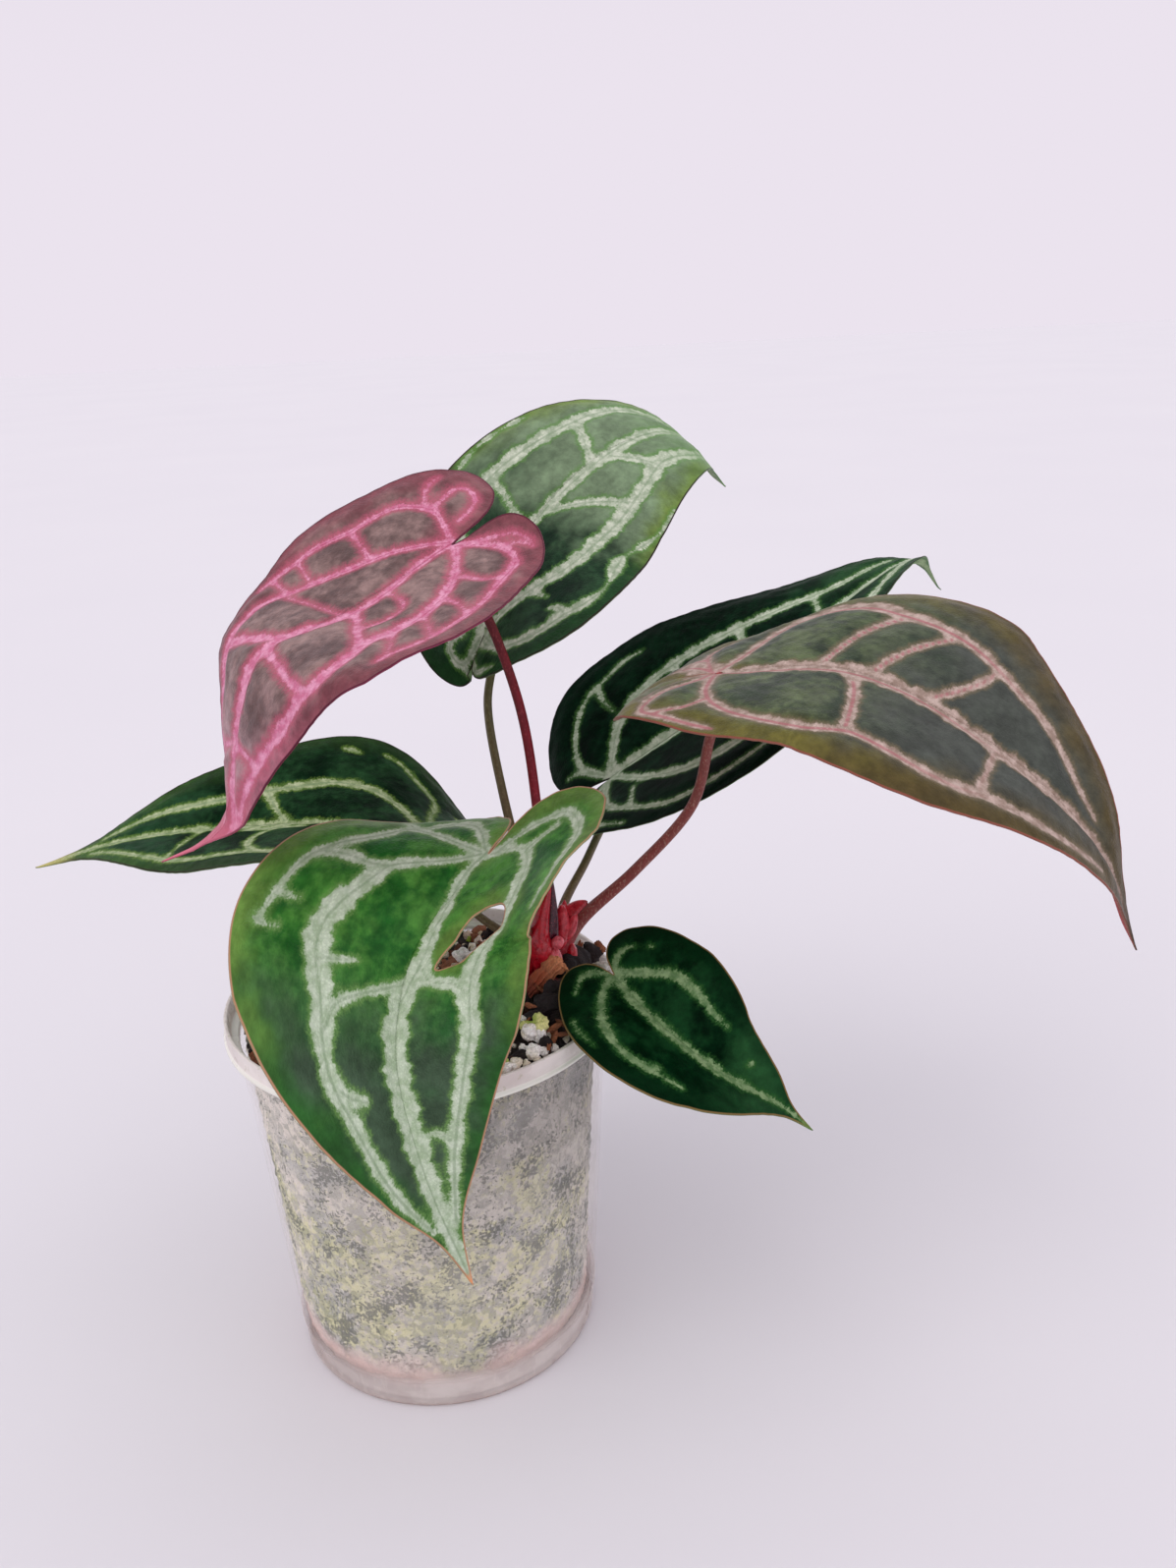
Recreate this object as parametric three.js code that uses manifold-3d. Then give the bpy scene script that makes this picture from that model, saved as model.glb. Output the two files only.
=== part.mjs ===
// Potted Michelle anthurium: a young velvet-leaved aroid in a clear plastic nursery pot.
// Millimetres, +Z up. The origin is the centre of the pot's underside; +X points to the
// bronze leaf on the right and -Y to the large leaf that hangs over the front of the rim.
import * as THREE from 'three';
import { mergeVertices } from 'three/addons/utils/BufferGeometryUtils.js';
import Module from 'manifold-3d';

const wasm = await Module();
wasm.setup();

const GAP = 0.3; // air kept between neighbouring pieces

// Pot: a thin tapered cup with a flanged rim
const POT_FOOT_R = 35.1;
const POT_SHOULDER_R = 41.7;
const POT_SHOULDER_Z = 82;
const POT_RIM_R = 44.3;
const POT_BAND_R = 43.7;
const POT_HEIGHT = 87;
const POT_WALL = 0.8;
const POT_FLOOR = 1.2;
const LIP_HEIGHT = 0.9;
const POT_SIDES = 48;
const DRAIN_HOLES = 6;
const DRAIN_R = 3;
const DRAIN_CIRCLE_R = 24;

// Potting mix: fills the pot, but not the corner round the floor
const MIX_CORNER_R = 31.5;
const MIX_CORNER_Z = 7;
const MIX_EDGE_Z = 81.6;
const MIX_SHOULDER_Z = 78.5;  // the wall stops touching the mix here
const MIX_SLOPE = 0.03;       // rise towards +X, where the mix is heaped under the crown
const MOUND_HEIGHT = 3.2;
const MOUND_SPREAD = 17;
const MIX_SIDES = 36;
const MIX_RINGS = 5;
const CHUNK_COUNT = 46;
const CHUNK_R = [1.5, 3.6];

// Crown: the short stem from which every petiole grows
const CROWN_FOOT = [28.0, 1.6, 68];
const CROWN_TOP = [29.0, 0.4, 101.5];
const CROWN_R = [4.0, 4.6, 5.2, 5.0, 4.4, 3.2];
const STALK_SIDES = 8;
const STALK_STEPS = 18;

// Blades
const BLADE_THICKNESS = 0.8;
const MIDRIB_KEEL = 0.5;
const PUFF = 0.7;
const WAVE = 0.55;
const WAVE_COUNT = 4;
const MAIN_VEIN = 0.6;      // where the arching vein runs, as a share of the way to the margin
const ATTACH = 0.02;        // where the petiole meets the blade, as a share of its length
const BLADE_ROWS = 20;
const BLADE_COLUMNS = [0, 0.18, 0.38, MAIN_VEIN, 0.8, 1];

// Torn hole in the left half of the front leaf, (along, across) as shares of its length
const TEAR = [
  [0.304, 0.139], [0.200, 0.203], [0.165, 0.217], [0.117, 0.180],
  [0.112, 0.139], [0.157, 0.100], [0.240, 0.093], [0.317, 0.070],
];

// Half outline of a flat blade, (along, across) as shares of its length, from the bottom of
// the notch round one lobe to the drawn-out tip
const HALF_OUTLINE = [
  [0, 0], [-0.08, 0.03], [-0.125, 0.09], [-0.115, 0.17], [-0.03, 0.255], [0.10, 0.31],
  [0.25, 0.325], [0.43, 0.285], [0.60, 0.20], [0.75, 0.11], [0.87, 0.035], [1, 0],
];

// A pinched notch loses this half width, most in the middle of this share of the outline
const NOTCH_HALF = 0.03;
const NOTCH_SHARE = 0.27;

// Each leaf: rib holds five points of the midrib from the petiole to the tip. Angles are in
// degrees. fold lifts a half from the midrib at the lobes, at a third and at the tip; arch
// bends it down towards the margin at the base and the tip; droop bends the lobe down; lobe
// and width scale the outline, and pinch draws the lobes together behind the petiole. right is
// the side on the right hand looking to the tip.
// stalk holds the petiole's way from the crown to just under the blade.
const LEAVES = {
  back: {
    color: 0x35602f,
    rib: [[18, 28, 161], [30, 41.5, 183.5], [48, 48.5, 198.5], [65, 60, 200], [79, 79, 185]],
    roll: 5, twist: 6,
    right: { fold: [36, 2, 4], arch: [14, 11], droop: 3, lobe: 0.87, width: [1.03, 1.01, 1.13] },
    left: { fold: [70, 18, 4], arch: [8, 8], droop: 45, lobe: 1.06, width: [0.7, 0.81, 1.09] },
    pinch: 1,
    stalkColor: 0x5e4a30, stalkR: 0.95,
    stalk: [[27.2, 3.6, 95.5], [25.4, 6, 106], [20.6, 15.5, 127], [17.8, 26, 145]],
  },
  pink: {
    color: 0xa85072,
    rib: [[15, -1, 187], [-3.5, -16.5, 178], [-19.5, -29, 171], [-28, -34, 148], [-42, -32, 134]],
    roll: -3, twist: 8,
    right: { fold: [23, 3, -23], arch: [-5, 11], droop: 10, lobe: 1.58, width: [1, 1.03, 0.96] },
    left: { fold: [-22, -3, -16], arch: [-19, 20], droop: -60, lobe: 1.11, width: [0.95, 1.21, 0.96] },
    stalkColor: 0x8e2438, stalkR: 1.05,
    stalk: [[29, 0.4, 96.5], [29.2, 0.2, 104], [28.6, 1, 129.5], [26.4, 2.4, 151], [20.8, 2.6, 171]],
  },
  right_back: {
    color: 0x1f4428,
    rib: [[45.5, 39.5, 121], [74.5, 39, 140.5], [100, 44, 159], [121, 53.5, 168.5], [132.5, 67, 158]],
    roll: 15, twist: -15,
    right: { fold: [23, 4, 17], arch: [8, 15], droop: 15, lobe: 1.4, width: [0.98, 1, 0.7, 0.2] },
    left: { fold: [15, 17, 12], arch: [-5, 15], droop: 32, lobe: 1.03, width: [1.07, 0.98, 0.9, 0.3] },
    stalkColor: 0x6a5a38, stalkR: 0.95,
    stalk: [[31.2, 3.4, 95], [33, 9, 101.6], [38.4, 22, 106.4], [43.4, 34, 111.4]],
  },
  bronze: {
    color: 0x5c5c42,
    rib: [[66.5, -7, 159], [92.5, -17.5, 161], [115, -30.5, 150.5], [135, -37.5, 131.5], [147, -35, 106]],
    roll: 1, twist: 7,
    right: { fold: [8, 3, 18], arch: [14, 15], droop: 53, lobe: 1.26, width: [0.99, 1.01, 0.99] },
    left: { fold: [-2, 19, 7], arch: [17, 2], droop: 42, lobe: 1.75, width: [0.98, 1.10, 0.98] },
    pinch: 1,
    stalkColor: 0x8c4c44, stalkR: 1.15,
    stalk: [[31.4, -0.6, 94.6], [37.4, 0.6, 102.3], [49.5, 1, 113], [62.2, 0, 127.8], [66.2, -2.8, 144]],
  },
  left: {
    color: 0x264e2d,
    rib: [[2, 20.5, 115], [-20.5, 25, 118], [-45.5, 30, 116.5], [-71.5, 33.5, 113.5], [-97, 35.5, 106.5]],
    roll: 16, twist: -20,
    right: { fold: [-14, 32, -9], arch: [-4, 6], droop: 12, lobe: 1.29, width: [1.14, 0.95, 1] },
    left: { fold: [10, -1, -5], arch: [8, 9], droop: 12, lobe: 1.3, width: [1, 0.99, 1.03] },
    stalkColor: 0x5e5a3a, stalkR: 0.95,
    stalk: [[26.2, 1.8, 93.6], [20.8, 3.2, 97], [13, 8, 101], [6, 14, 106]],
  },
  front: {
    color: 0x33702f,
    rib: [[19.5, -23, 128.5], [5.5, -38, 116], [2, -55, 102.5], [6.5, -65.5, 83.5], [14, -68.5, 60.5]],
    roll: -3, twist: -38,
    right: { fold: [-20, 39, 17], arch: [10, 4], droop: 34, lobe: 1.33, width: [1.05, 1.24, 0.99] },
    left: { fold: [-6, 14, -6], arch: [-39, 7], droop: 0, lobe: 1.88, width: [1.12, 1.09, 0.96] },
    stalkColor: 0x6c4a38, stalkR: 1.1,
    stalk: [[27, -1.8, 94.6], [25.4, -6, 101.5], [23.4, -13, 112]],
  },
  small: {
    color: 0x183c20,
    rib: [[43.5, -15.5, 96], [52, -26, 90], [62.5, -31.5, 82.5], [73.5, -32.5, 75], [83.5, -33, 66.5]],
    roll: 25, twist: -17,
    right: { fold: [3, 22, 22], arch: [11, 10], droop: 20, lobe: 1.08, width: [0.94, 0.99, 0.96] },
    left: { fold: [6, 22, 19], arch: [10, 9], droop: 20, lobe: 1.09, width: [1.02, 1.03, 1.05] },
    stalkColor: 0x5c5a3a, stalkR: 0.8,
    stalk: [[30.4, -2.4, 88.6], [35, -6.8, 90.4], [40.4, -11.6, 91.6]],
  },
};

const rad = THREE.MathUtils.degToRad;

function randomFrom(seed) {
  // mulberry32, so that every run draws the same chunks
  let state = seed;
  return () => {
    state = (state + 0x6d2b79f5) | 0;
    let t = Math.imul(state ^ (state >>> 15), 1 | state);
    t = (t + Math.imul(t ^ (t >>> 7), 61 | t)) ^ t;
    return ((t ^ (t >>> 14)) >>> 0) / 4294967296;
  };
}

function splinePoint(points, share) {
  // Uniform Catmull-Rom through rows of numbers; the ends are mirrored
  const last = points.length - 1;
  const t = share * last;
  const i = Math.min(Math.floor(t), last - 1);
  const w = t - i;
  return points[0].map((_, k) => {
    const b = points[i][k];
    const c = points[i + 1][k];
    const a = i > 0 ? points[i - 1][k] : 2 * b - c;
    const d = i + 2 <= last ? points[i + 2][k] : 2 * c - b;
    return 0.5 * (2 * b + (c - a) * w + (2 * a - 5 * b + 4 * c - d) * w * w
      + (3 * b - a - 3 * c + d) * w * w * w);
  });
}

function ribFrames(rib, roll, twist) {
  // Evenly spaced points of the midrib, each with its tangent, upward normal and right-hand
  // direction. The frame is carried along without spin, then rolled about the midrib.
  const FINE = 240;
  const STATIONS = 48;
  const fine = [];
  for (let i = 0; i <= FINE; i++) fine.push(new THREE.Vector3(...splinePoint(rib, i / FINE)));
  const run = [0];
  for (let i = 1; i <= FINE; i++) run.push(run[i - 1] + fine[i].distanceTo(fine[i - 1]));
  const length = run[FINE];
  const points = [];
  for (let s = 0, i = 0; s <= STATIONS; s++) {
    const want = (length * s) / STATIONS;
    while (i < FINE - 1 && run[i + 1] < want) i++;
    const w = (want - run[i]) / (run[i + 1] - run[i]);
    points.push(fine[i].clone().lerp(fine[i + 1], w));
  }
  const tangents = points.map((_, i) => points[Math.min(i + 1, STATIONS)].clone()
    .sub(points[Math.max(i - 1, 0)]).normalize());
  const normals = [];
  let carried = new THREE.Vector3(0, 0, 1);
  for (let i = 0; i <= STATIONS; i++) {
    carried = carried.clone().addScaledVector(tangents[i], -carried.dot(tangents[i])).normalize();
    const spin = rad(roll + (twist * i) / STATIONS);
    const side = tangents[i].clone().cross(carried);
    normals.push(carried.clone().multiplyScalar(Math.cos(spin)).addScaledVector(side, Math.sin(spin)));
  }
  const at = (along) => {
    const t = THREE.MathUtils.clamp(along, 0, 1) * STATIONS;
    const i = Math.min(Math.floor(t), STATIONS - 1);
    const mix = (list) => list[i].clone().lerp(list[i + 1], t - i);
    const tangent = mix(tangents).normalize();
    const normal = mix(normals).normalize();
    return { point: mix(points), tangent, normal, right: tangent.clone().cross(normal) };
  };
  return { length, at };
}

function along3(values, a) {
  // Smooth value through the lobes (-0.12), a third of the way (0.35) and the tip (1)
  const [p, q, r] = [-0.12, 0.35, 1];
  const t = THREE.MathUtils.clamp(a, p, r);
  return (values[0] * (t - q) * (t - r)) / ((p - q) * (p - r))
    + (values[1] * (t - p) * (t - r)) / ((q - p) * (q - r))
    + (values[2] * (t - p) * (t - q)) / ((r - p) * (r - q));
}

function widthScale(width, a) {
  // Broken line through the width factors at a 0.05, 0.45, 0.8 and 0.9; where a leaf gives
  // three, the last also serves its tail
  const tail = width[3] ?? width[2];
  const knots = [[0.05, width[0]], [0.45, width[1]], [0.8, width[2]], [0.9, tail]];
  if (a <= knots[0][0]) return width[0];
  if (a >= knots[3][0]) return tail;
  const i = knots.findIndex((knot) => a < knot[0]) - 1;
  const w = (a - knots[i][0]) / (knots[i + 1][0] - knots[i][0]);
  return knots[i][1] + (knots[i + 1][1] - knots[i][1]) * w;
}

function makeBlade(leaf) {
  // Returns place(side, t, v): the middle of the blade at share t of the outline, from the
  // notch to the tip, and share v of the way from the midrib to the margin
  const frames = ribFrames(leaf.rib, leaf.roll, leaf.twist);
  const { length } = frames;
  const base = frames.at(0);
  const arc = (angle, turn, s) => {
    // End of an arc of length s that starts at the given angle and turns down per mm
    if (Math.abs(turn) < 1e-7) return [s * Math.cos(angle), s * Math.sin(angle)];
    return [(Math.sin(angle) - Math.sin(angle - turn * s)) / turn,
      (Math.cos(angle - turn * s) - Math.cos(angle)) / turn];
  };
  const surface = (side, a, b) => {
    const half = side > 0 ? leaf.right : leaf.left;
    const f = frames.at(a);
    const point = f.point.clone();
    if (a < 0) {
      const [back, down] = arc(0, rad(half.droop) / (0.2 * length), -a * length);
      point.addScaledVector(base.tangent, -back).addScaledVector(base.normal, down);
    }
    const aa = THREE.MathUtils.clamp(a, 0, 1);
    const bend = rad(half.arch[0] + (half.arch[1] - half.arch[0]) * aa) / (0.3 * length);
    const [out, up] = arc(rad(along3(half.fold, a)), bend, b * length);
    return point.addScaledVector(f.right, side * out).addScaledVector(f.normal, up);
  };
  const place = (side, t, v) => {
    const half = side > 0 ? leaf.right : leaf.left;
    const [a0, b0] = splinePoint(HALF_OUTLINE, t);
    const drawn = t < NOTCH_SHARE ? NOTCH_HALF * Math.sin((Math.PI * t) / NOTCH_SHARE) : 0;
    const across = b0 * widthScale(half.width, a0) - (leaf.pinch ?? 0) * drawn;
    const edge = [a0 < 0 ? a0 * half.lobe : a0, across];
    const root = rootShare(t);
    const a = root + (edge[0] - root) * v;
    const b = edge[1] * v;
    // Panels puff up between the veins; the margin waves gently
    const panel = v < MAIN_VEIN ? v / MAIN_VEIN : (v - MAIN_VEIN) / (1 - MAIN_VEIN);
    const body = Math.min(1, edge[1] / 0.2);
    const puff = PUFF * Math.sin(Math.PI * panel) ** 2 * body * (v < MAIN_VEIN ? 1 : 0.6);
    const wave = WAVE * Math.sin(2 * Math.PI * WAVE_COUNT * t + side) * v ** 3 * body;
    const f = frames.at(a);
    return surface(side, a, b).addScaledVector(f.normal, (puff + wave) * (length / 100));
  };
  return { place, surface };
}

function rootShare(t) {
  // Where the line from margin point t meets the midrib: lobes fan from the petiole, and the
  // rest sweep forward until the tip
  const FAN = 0.22;
  if (t <= FAN) return ATTACH;
  const w = (t - FAN) / (1 - FAN);
  return ATTACH + (1 - ATTACH) * w ** 1.25;
}

function closedGeometry(triangles) {
  // One closed mesh from a flat list of corner vectors, its shared corners merged
  const geometry = new THREE.BufferGeometry();
  const numbers = triangles.flatMap((p) => [p.x, p.y, p.z]);
  geometry.setAttribute('position', new THREE.Float32BufferAttribute(numbers, 3));
  return mergeVertices(geometry, 1e-4);
}

function bladeGeometry(leaf) {
  // Upper and lower faces share one grid of points, so both are split into triangles alike
  const { place } = makeBlade(leaf);
  const keys = new Map();
  const points = [];
  const rimShare = [];
  const indexOf = (p, v) => {
    const key = [p.x, p.y, p.z].map((c) => Math.round(c * 1e3)).join(',');
    if (!keys.has(key)) {
      keys.set(key, points.length);
      points.push(p);
      rimShare.push(v);
    }
    return keys.get(key);
  };
  const faces = [];
  const addFace = (i, j, k) => {
    if (i !== j && j !== k && k !== i) faces.push([i, j, k]);
  };
  for (const side of [1, -1]) {
    const grid = [];
    for (let r = 0; r <= BLADE_ROWS; r++) {
      const t = r / BLADE_ROWS;
      grid.push(BLADE_COLUMNS.map((v) => indexOf(place(side, t, v), v)));
    }
    for (let r = 0; r < BLADE_ROWS; r++) {
      for (let c = 0; c < BLADE_COLUMNS.length - 1; c++) {
        const [p, q, s, u] = [grid[r][c], grid[r][c + 1], grid[r + 1][c + 1], grid[r + 1][c]];
        if (side > 0) {
          addFace(p, q, s);
          addFace(p, s, u);
        } else {
          addFace(p, s, q);
          addFace(p, u, s);
        }
      }
    }
  }
  const normals = points.map(() => new THREE.Vector3());
  const edges = new Map();
  for (const face of faces) {
    const [a, b, c] = face.map((i) => points[i]);
    const n = b.clone().sub(a).cross(c.clone().sub(a));
    face.forEach((i) => normals[i].add(n));
    face.forEach((i, k) => edges.set(`${i}_${face[(k + 1) % 3]}`, [i, face[(k + 1) % 3]]));
  }
  normals.forEach((n) => n.normalize());
  const upper = points.map((p, i) => p.clone().addScaledVector(normals[i], BLADE_THICKNESS / 2));
  const lower = points.map((p, i) => {
    const keel = rimShare[i] === 0 ? MIDRIB_KEEL : 0;
    return p.clone().addScaledVector(normals[i], -BLADE_THICKNESS / 2 - keel);
  });
  const triangles = [];
  for (const [i, j, k] of faces) {
    triangles.push(upper[i], upper[j], upper[k], lower[i], lower[k], lower[j]);
  }
  for (const [i, j] of edges.values()) {
    if (edges.has(`${j}_${i}`)) continue;
    triangles.push(upper[i], lower[i], lower[j], upper[i], lower[j], upper[j]);
  }
  return closedGeometry(triangles);
}

function tornBlade(leaf) {
  // The front leaf, cut through by a prism that follows the outline of the tear
  const { surface } = makeBlade(leaf);
  const [sumA, sumB] = TEAR.reduce(([a, b], [x, y]) => [a + x, b + y], [0, 0]);
  const middle = surface(-1, sumA / TEAR.length, sumB / TEAR.length);
  const outline = TEAR.map(([a, b]) => surface(-1, a, b));
  const [toward, across] = [2, 5].map((i) => outline[i].clone().sub(outline[0]));
  const lift = toward.cross(across).normalize().multiplyScalar(8);
  const triangles = [];
  outline.forEach((p, i) => {
    const n = outline[(i + 1) % outline.length];
    const [pt, nt, mt] = [p, n, middle].map((c) => c.clone().add(lift));
    const [pb, nb, mb] = [p, n, middle].map((c) => c.clone().sub(lift));
    triangles.push(mt, pt, nt, mb, nb, pb, pb, nb, nt, pb, nt, pt);
  });
  const prism = toManifold(closedGeometry(triangles));
  return fromManifold(toManifold(bladeGeometry(leaf)).subtract(prism));
}

function sweptGeometry(path, radiusAt, sides, steps) {
  // A closed round rod along a spline, its section carried without spin
  const at = (s) => new THREE.Vector3(...splinePoint(path, s));
  const rings = [];
  let across = new THREE.Vector3(1, 0.2, 0);
  for (let i = 0; i <= steps; i++) {
    const s = i / steps;
    const tangent = at(Math.min(1, s + 1e-3)).sub(at(Math.max(0, s - 1e-3))).normalize();
    across = across.clone().addScaledVector(tangent, -across.dot(tangent)).normalize();
    const other = tangent.clone().cross(across);
    const centre = at(s);
    const ring = [];
    for (let k = 0; k < sides; k++) {
      const angle = (2 * Math.PI * k) / sides;
      ring.push(centre.clone().addScaledVector(across, radiusAt(s) * Math.cos(angle))
        .addScaledVector(other, radiusAt(s) * Math.sin(angle)));
    }
    rings.push(ring);
  }
  const triangles = [];
  for (let i = 0; i < steps; i++) {
    for (let k = 0; k < sides; k++) {
      const n = (k + 1) % sides;
      triangles.push(rings[i][k], rings[i][n], rings[i + 1][n]);
      triangles.push(rings[i][k], rings[i + 1][n], rings[i + 1][k]);
    }
  }
  for (let k = 1; k < sides - 1; k++) {
    triangles.push(rings[0][0], rings[0][k + 1], rings[0][k]);
    triangles.push(rings[steps][0], rings[steps][k], rings[steps][k + 1]);
  }
  return closedGeometry(triangles);
}

function stalkPath(leaf) {
  // The listed points, then a bend that meets the underside of the blade square on
  const { at, length } = ribFrames(leaf.rib, leaf.roll, leaf.twist);
  const frame = at(ATTACH);
  const under = BLADE_THICKNESS / 2 + MIDRIB_KEEL + GAP;
  const end = frame.point.clone().addScaledVector(frame.normal, -under);
  const coming = new THREE.Vector3(...leaf.stalk.at(-1)).sub(end).normalize();
  const bend = end.clone().addScaledVector(frame.normal, -0.034 * length)
    .addScaledVector(coming, 0.022 * length);
  return [...leaf.stalk, bend.toArray(), end.toArray()];
}

function stalkRadius(leaf, extra = 0) {
  // Slender, thicker where it leaves the crown and at the joint below the blade
  return (s) => leaf.stalkR * (1 + 0.35 * (1 - s) ** 6 + 0.3 * s ** 16) + extra;
}

function toManifold(geometry) {
  const bare = geometry.clone();
  for (const name of Object.keys(bare.attributes)) {
    if (name !== 'position') bare.deleteAttribute(name);
  }
  const merged = mergeVertices(bare, 1e-4);
  return new wasm.Manifold(new wasm.Mesh({
    numProp: 3,
    vertProperties: new Float32Array(merged.attributes.position.array),
    triVerts: new Uint32Array(merged.index.array),
  }));
}

function fromManifold(solid) {
  const { vertProperties, triVerts } = solid.getMesh();
  const geometry = new THREE.BufferGeometry();
  geometry.setAttribute('position', new THREE.BufferAttribute(vertProperties, 3));
  geometry.setIndex(new THREE.BufferAttribute(triVerts, 1));
  return geometry;
}

function rod(from, to, radius, sides) {
  // A straight closed cylinder between two points
  return sweptGeometry([from, to], () => radius, sides, 1);
}

function potGeometry() {
  const innerFoot = POT_FOOT_R - POT_WALL;
  const profile = [
    [0, 0], [POT_FOOT_R - 1, 0], [POT_FOOT_R, 1],
    [POT_SHOULDER_R, POT_SHOULDER_Z], [POT_RIM_R, POT_SHOULDER_Z + 0.3],
    [POT_RIM_R, POT_SHOULDER_Z + 0.3 + LIP_HEIGHT], [POT_BAND_R, POT_SHOULDER_Z + 1.8],
    [POT_BAND_R + 0.2, POT_HEIGHT], [POT_BAND_R + 0.2 - POT_WALL, POT_HEIGHT],
    [POT_BAND_R - POT_WALL, POT_SHOULDER_Z + 1.6], [POT_SHOULDER_R - POT_WALL, POT_SHOULDER_Z + 0.8],
    [innerFoot, POT_FLOOR + 0.8], [innerFoot - 0.8, POT_FLOOR], [0, POT_FLOOR],
  ].map(([r, z]) => new THREE.Vector2(r, z));
  const cup = new THREE.LatheGeometry(profile, POT_SIDES).rotateX(Math.PI / 2);
  let solid = toManifold(cup);
  for (let i = 0; i < DRAIN_HOLES; i++) {
    const angle = (2 * Math.PI * (i + 0.5)) / DRAIN_HOLES;
    const x = DRAIN_CIRCLE_R * Math.cos(angle);
    const y = DRAIN_CIRCLE_R * Math.sin(angle);
    solid = solid.subtract(toManifold(rod([x, y, -1], [x, y, POT_FLOOR + 1], DRAIN_R, 16)));
  }
  return fromManifold(solid);
}

function mixInnerRadius(z) {
  // Radius of the mix where it lies against the pot's wall
  const share = (z - 1) / (POT_SHOULDER_Z - 1);
  return POT_FOOT_R + (POT_SHOULDER_R - POT_FOOT_R) * share - POT_WALL - GAP;
}

function mixTop(x, y) {
  // Height of the mix: it rises a little to +X and is heaped round the crown
  const away = Math.hypot(x - CROWN_TOP[0], y - CROWN_TOP[1]) / MOUND_SPREAD;
  return MIX_EDGE_Z + MIX_SLOPE * x + MOUND_HEIGHT * Math.exp(-0.5 * away * away);
}

function mixBody() {
  // Rings of points from the middle of the underside, up the wall and in over the top
  const ring = (radius, heightAt) => Array.from({ length: MIX_SIDES }, (_, k) => {
    const angle = (2 * Math.PI * k) / MIX_SIDES;
    const [x, y] = [radius * Math.cos(angle), radius * Math.sin(angle)];
    return new THREE.Vector3(x, y, heightAt(x, y));
  });
  const floor = POT_FLOOR + GAP;
  const rings = [
    ring(MIX_CORNER_R, () => floor),
    ring(mixInnerRadius(MIX_CORNER_Z), () => MIX_CORNER_Z),
    ring(mixInnerRadius(MIX_SHOULDER_Z), (x) => MIX_EDGE_Z - 1 + MIX_SLOPE * x),
  ];
  for (let i = MIX_RINGS; i > 0; i--) {
    rings.push(ring(((mixInnerRadius(MIX_SHOULDER_Z) - 1) * i) / MIX_RINGS, mixTop));
  }
  const under = new THREE.Vector3(0, 0, floor);
  const summit = new THREE.Vector3(0, 0, mixTop(0, 0));
  const triangles = [];
  for (let k = 0; k < MIX_SIDES; k++) {
    const n = (k + 1) % MIX_SIDES;
    triangles.push(under, rings[0][n], rings[0][k]);
    for (let i = 0; i < rings.length - 1; i++) {
      triangles.push(rings[i][k], rings[i][n], rings[i + 1][n]);
      triangles.push(rings[i][k], rings[i + 1][n], rings[i + 1][k]);
    }
    triangles.push(rings.at(-1)[k], rings.at(-1)[n], summit);
  }
  return closedGeometry(triangles);
}

function mixGeometry() {
  const random = randomFrom(11);
  const edge = mixInnerRadius(MIX_SHOULDER_Z);
  let solid = toManifold(mixBody());
  for (let i = 0; i < CHUNK_COUNT; i++) {
    // Sunflower spacing with a little drift, so that the chunks cover the top evenly
    const size = CHUNK_R[0] + (CHUNK_R[1] - CHUNK_R[0]) * random() ** 1.6;
    const reach = (edge - size - 0.8) * Math.sqrt((i + 0.5) / CHUNK_COUNT);
    const angle = i * 2.39996 + 0.5 * random();
    const [x, y] = [reach * Math.cos(angle), reach * Math.sin(angle)];
    const chunk = new THREE.IcosahedronGeometry(size, 0);
    chunk.scale(1, 0.7 + 0.3 * random(), 0.55 + 0.35 * random());
    chunk.rotateX(random() * 1.2).rotateZ(random() * Math.PI);
    chunk.translate(x, y, mixTop(x, y) + 0.15 * size);
    solid = solid.add(toManifold(chunk));
  }
  // The crown stands in a plain hole
  return fromManifold(solid.subtract(toManifold(crownBody(GAP))));
}

function crownBody(extra) {
  // A short knobbly stem, swollen at each old leaf scar
  const radiusAt = (s) => splinePoint(CROWN_R.map((r) => [r]), s)[0] + extra
    + 0.25 * Math.sin(s * 38);
  const axis = new THREE.Vector3(...CROWN_TOP).sub(new THREE.Vector3(...CROWN_FOOT)).normalize();
  const foot = new THREE.Vector3(...CROWN_FOOT).addScaledVector(axis, -extra).toArray();
  const top = new THREE.Vector3(...CROWN_TOP).addScaledVector(axis, extra).toArray();
  return sweptGeometry([foot, top], radiusAt, 14, 12);
}

function scaleGeometry(foot, lean, height, width) {
  // A fleshy pointed scale that stands beside the crown and leans outwards
  const path = [0, 0.45, 1].map((share) => [
    foot[0] + lean[0] * share, foot[1] + lean[1] * share, foot[2] + height * share ** 0.85,
  ]);
  return sweptGeometry(path, (s) => width * (1 - s) ** 0.7 + 0.12, 7, 5);
}

function crownGeometry() {
  let solid = toManifold(crownBody(0));
  // Red pointed scales left from the opening of each leaf
  const scales = [
    [[32.6, -2.0, 93], [4.2, -1.6], 11, 1.9],
    [[25.6, -2.4, 92], [-2.2, -2.4], 9.5, 1.8],
    [[31.6, 3.4, 94], [2.0, 2.6], 8, 1.7],
    [[24.8, 3.4, 93], [-2.2, 1.6], 7, 1.6],
  ];
  for (const [foot, lean, height, width] of scales) {
    solid = solid.add(toManifold(scaleGeometry(foot, lean, height, width)));
  }
  for (const leaf of Object.values(LEAVES)) {
    const path = stalkPath(leaf);
    const way = path.map((p) => p.slice());
    const start = new THREE.Vector3(...way[0]);
    const next = new THREE.Vector3(...splinePoint(path, 0.02)).sub(start).normalize();
    way[0] = start.addScaledVector(next, -GAP).toArray();
    const cut = sweptGeometry(way, stalkRadius(leaf, GAP + 0.08), STALK_SIDES, STALK_STEPS);
    solid = solid.subtract(toManifold(cut));
  }
  return fromManifold(solid);
}

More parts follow.
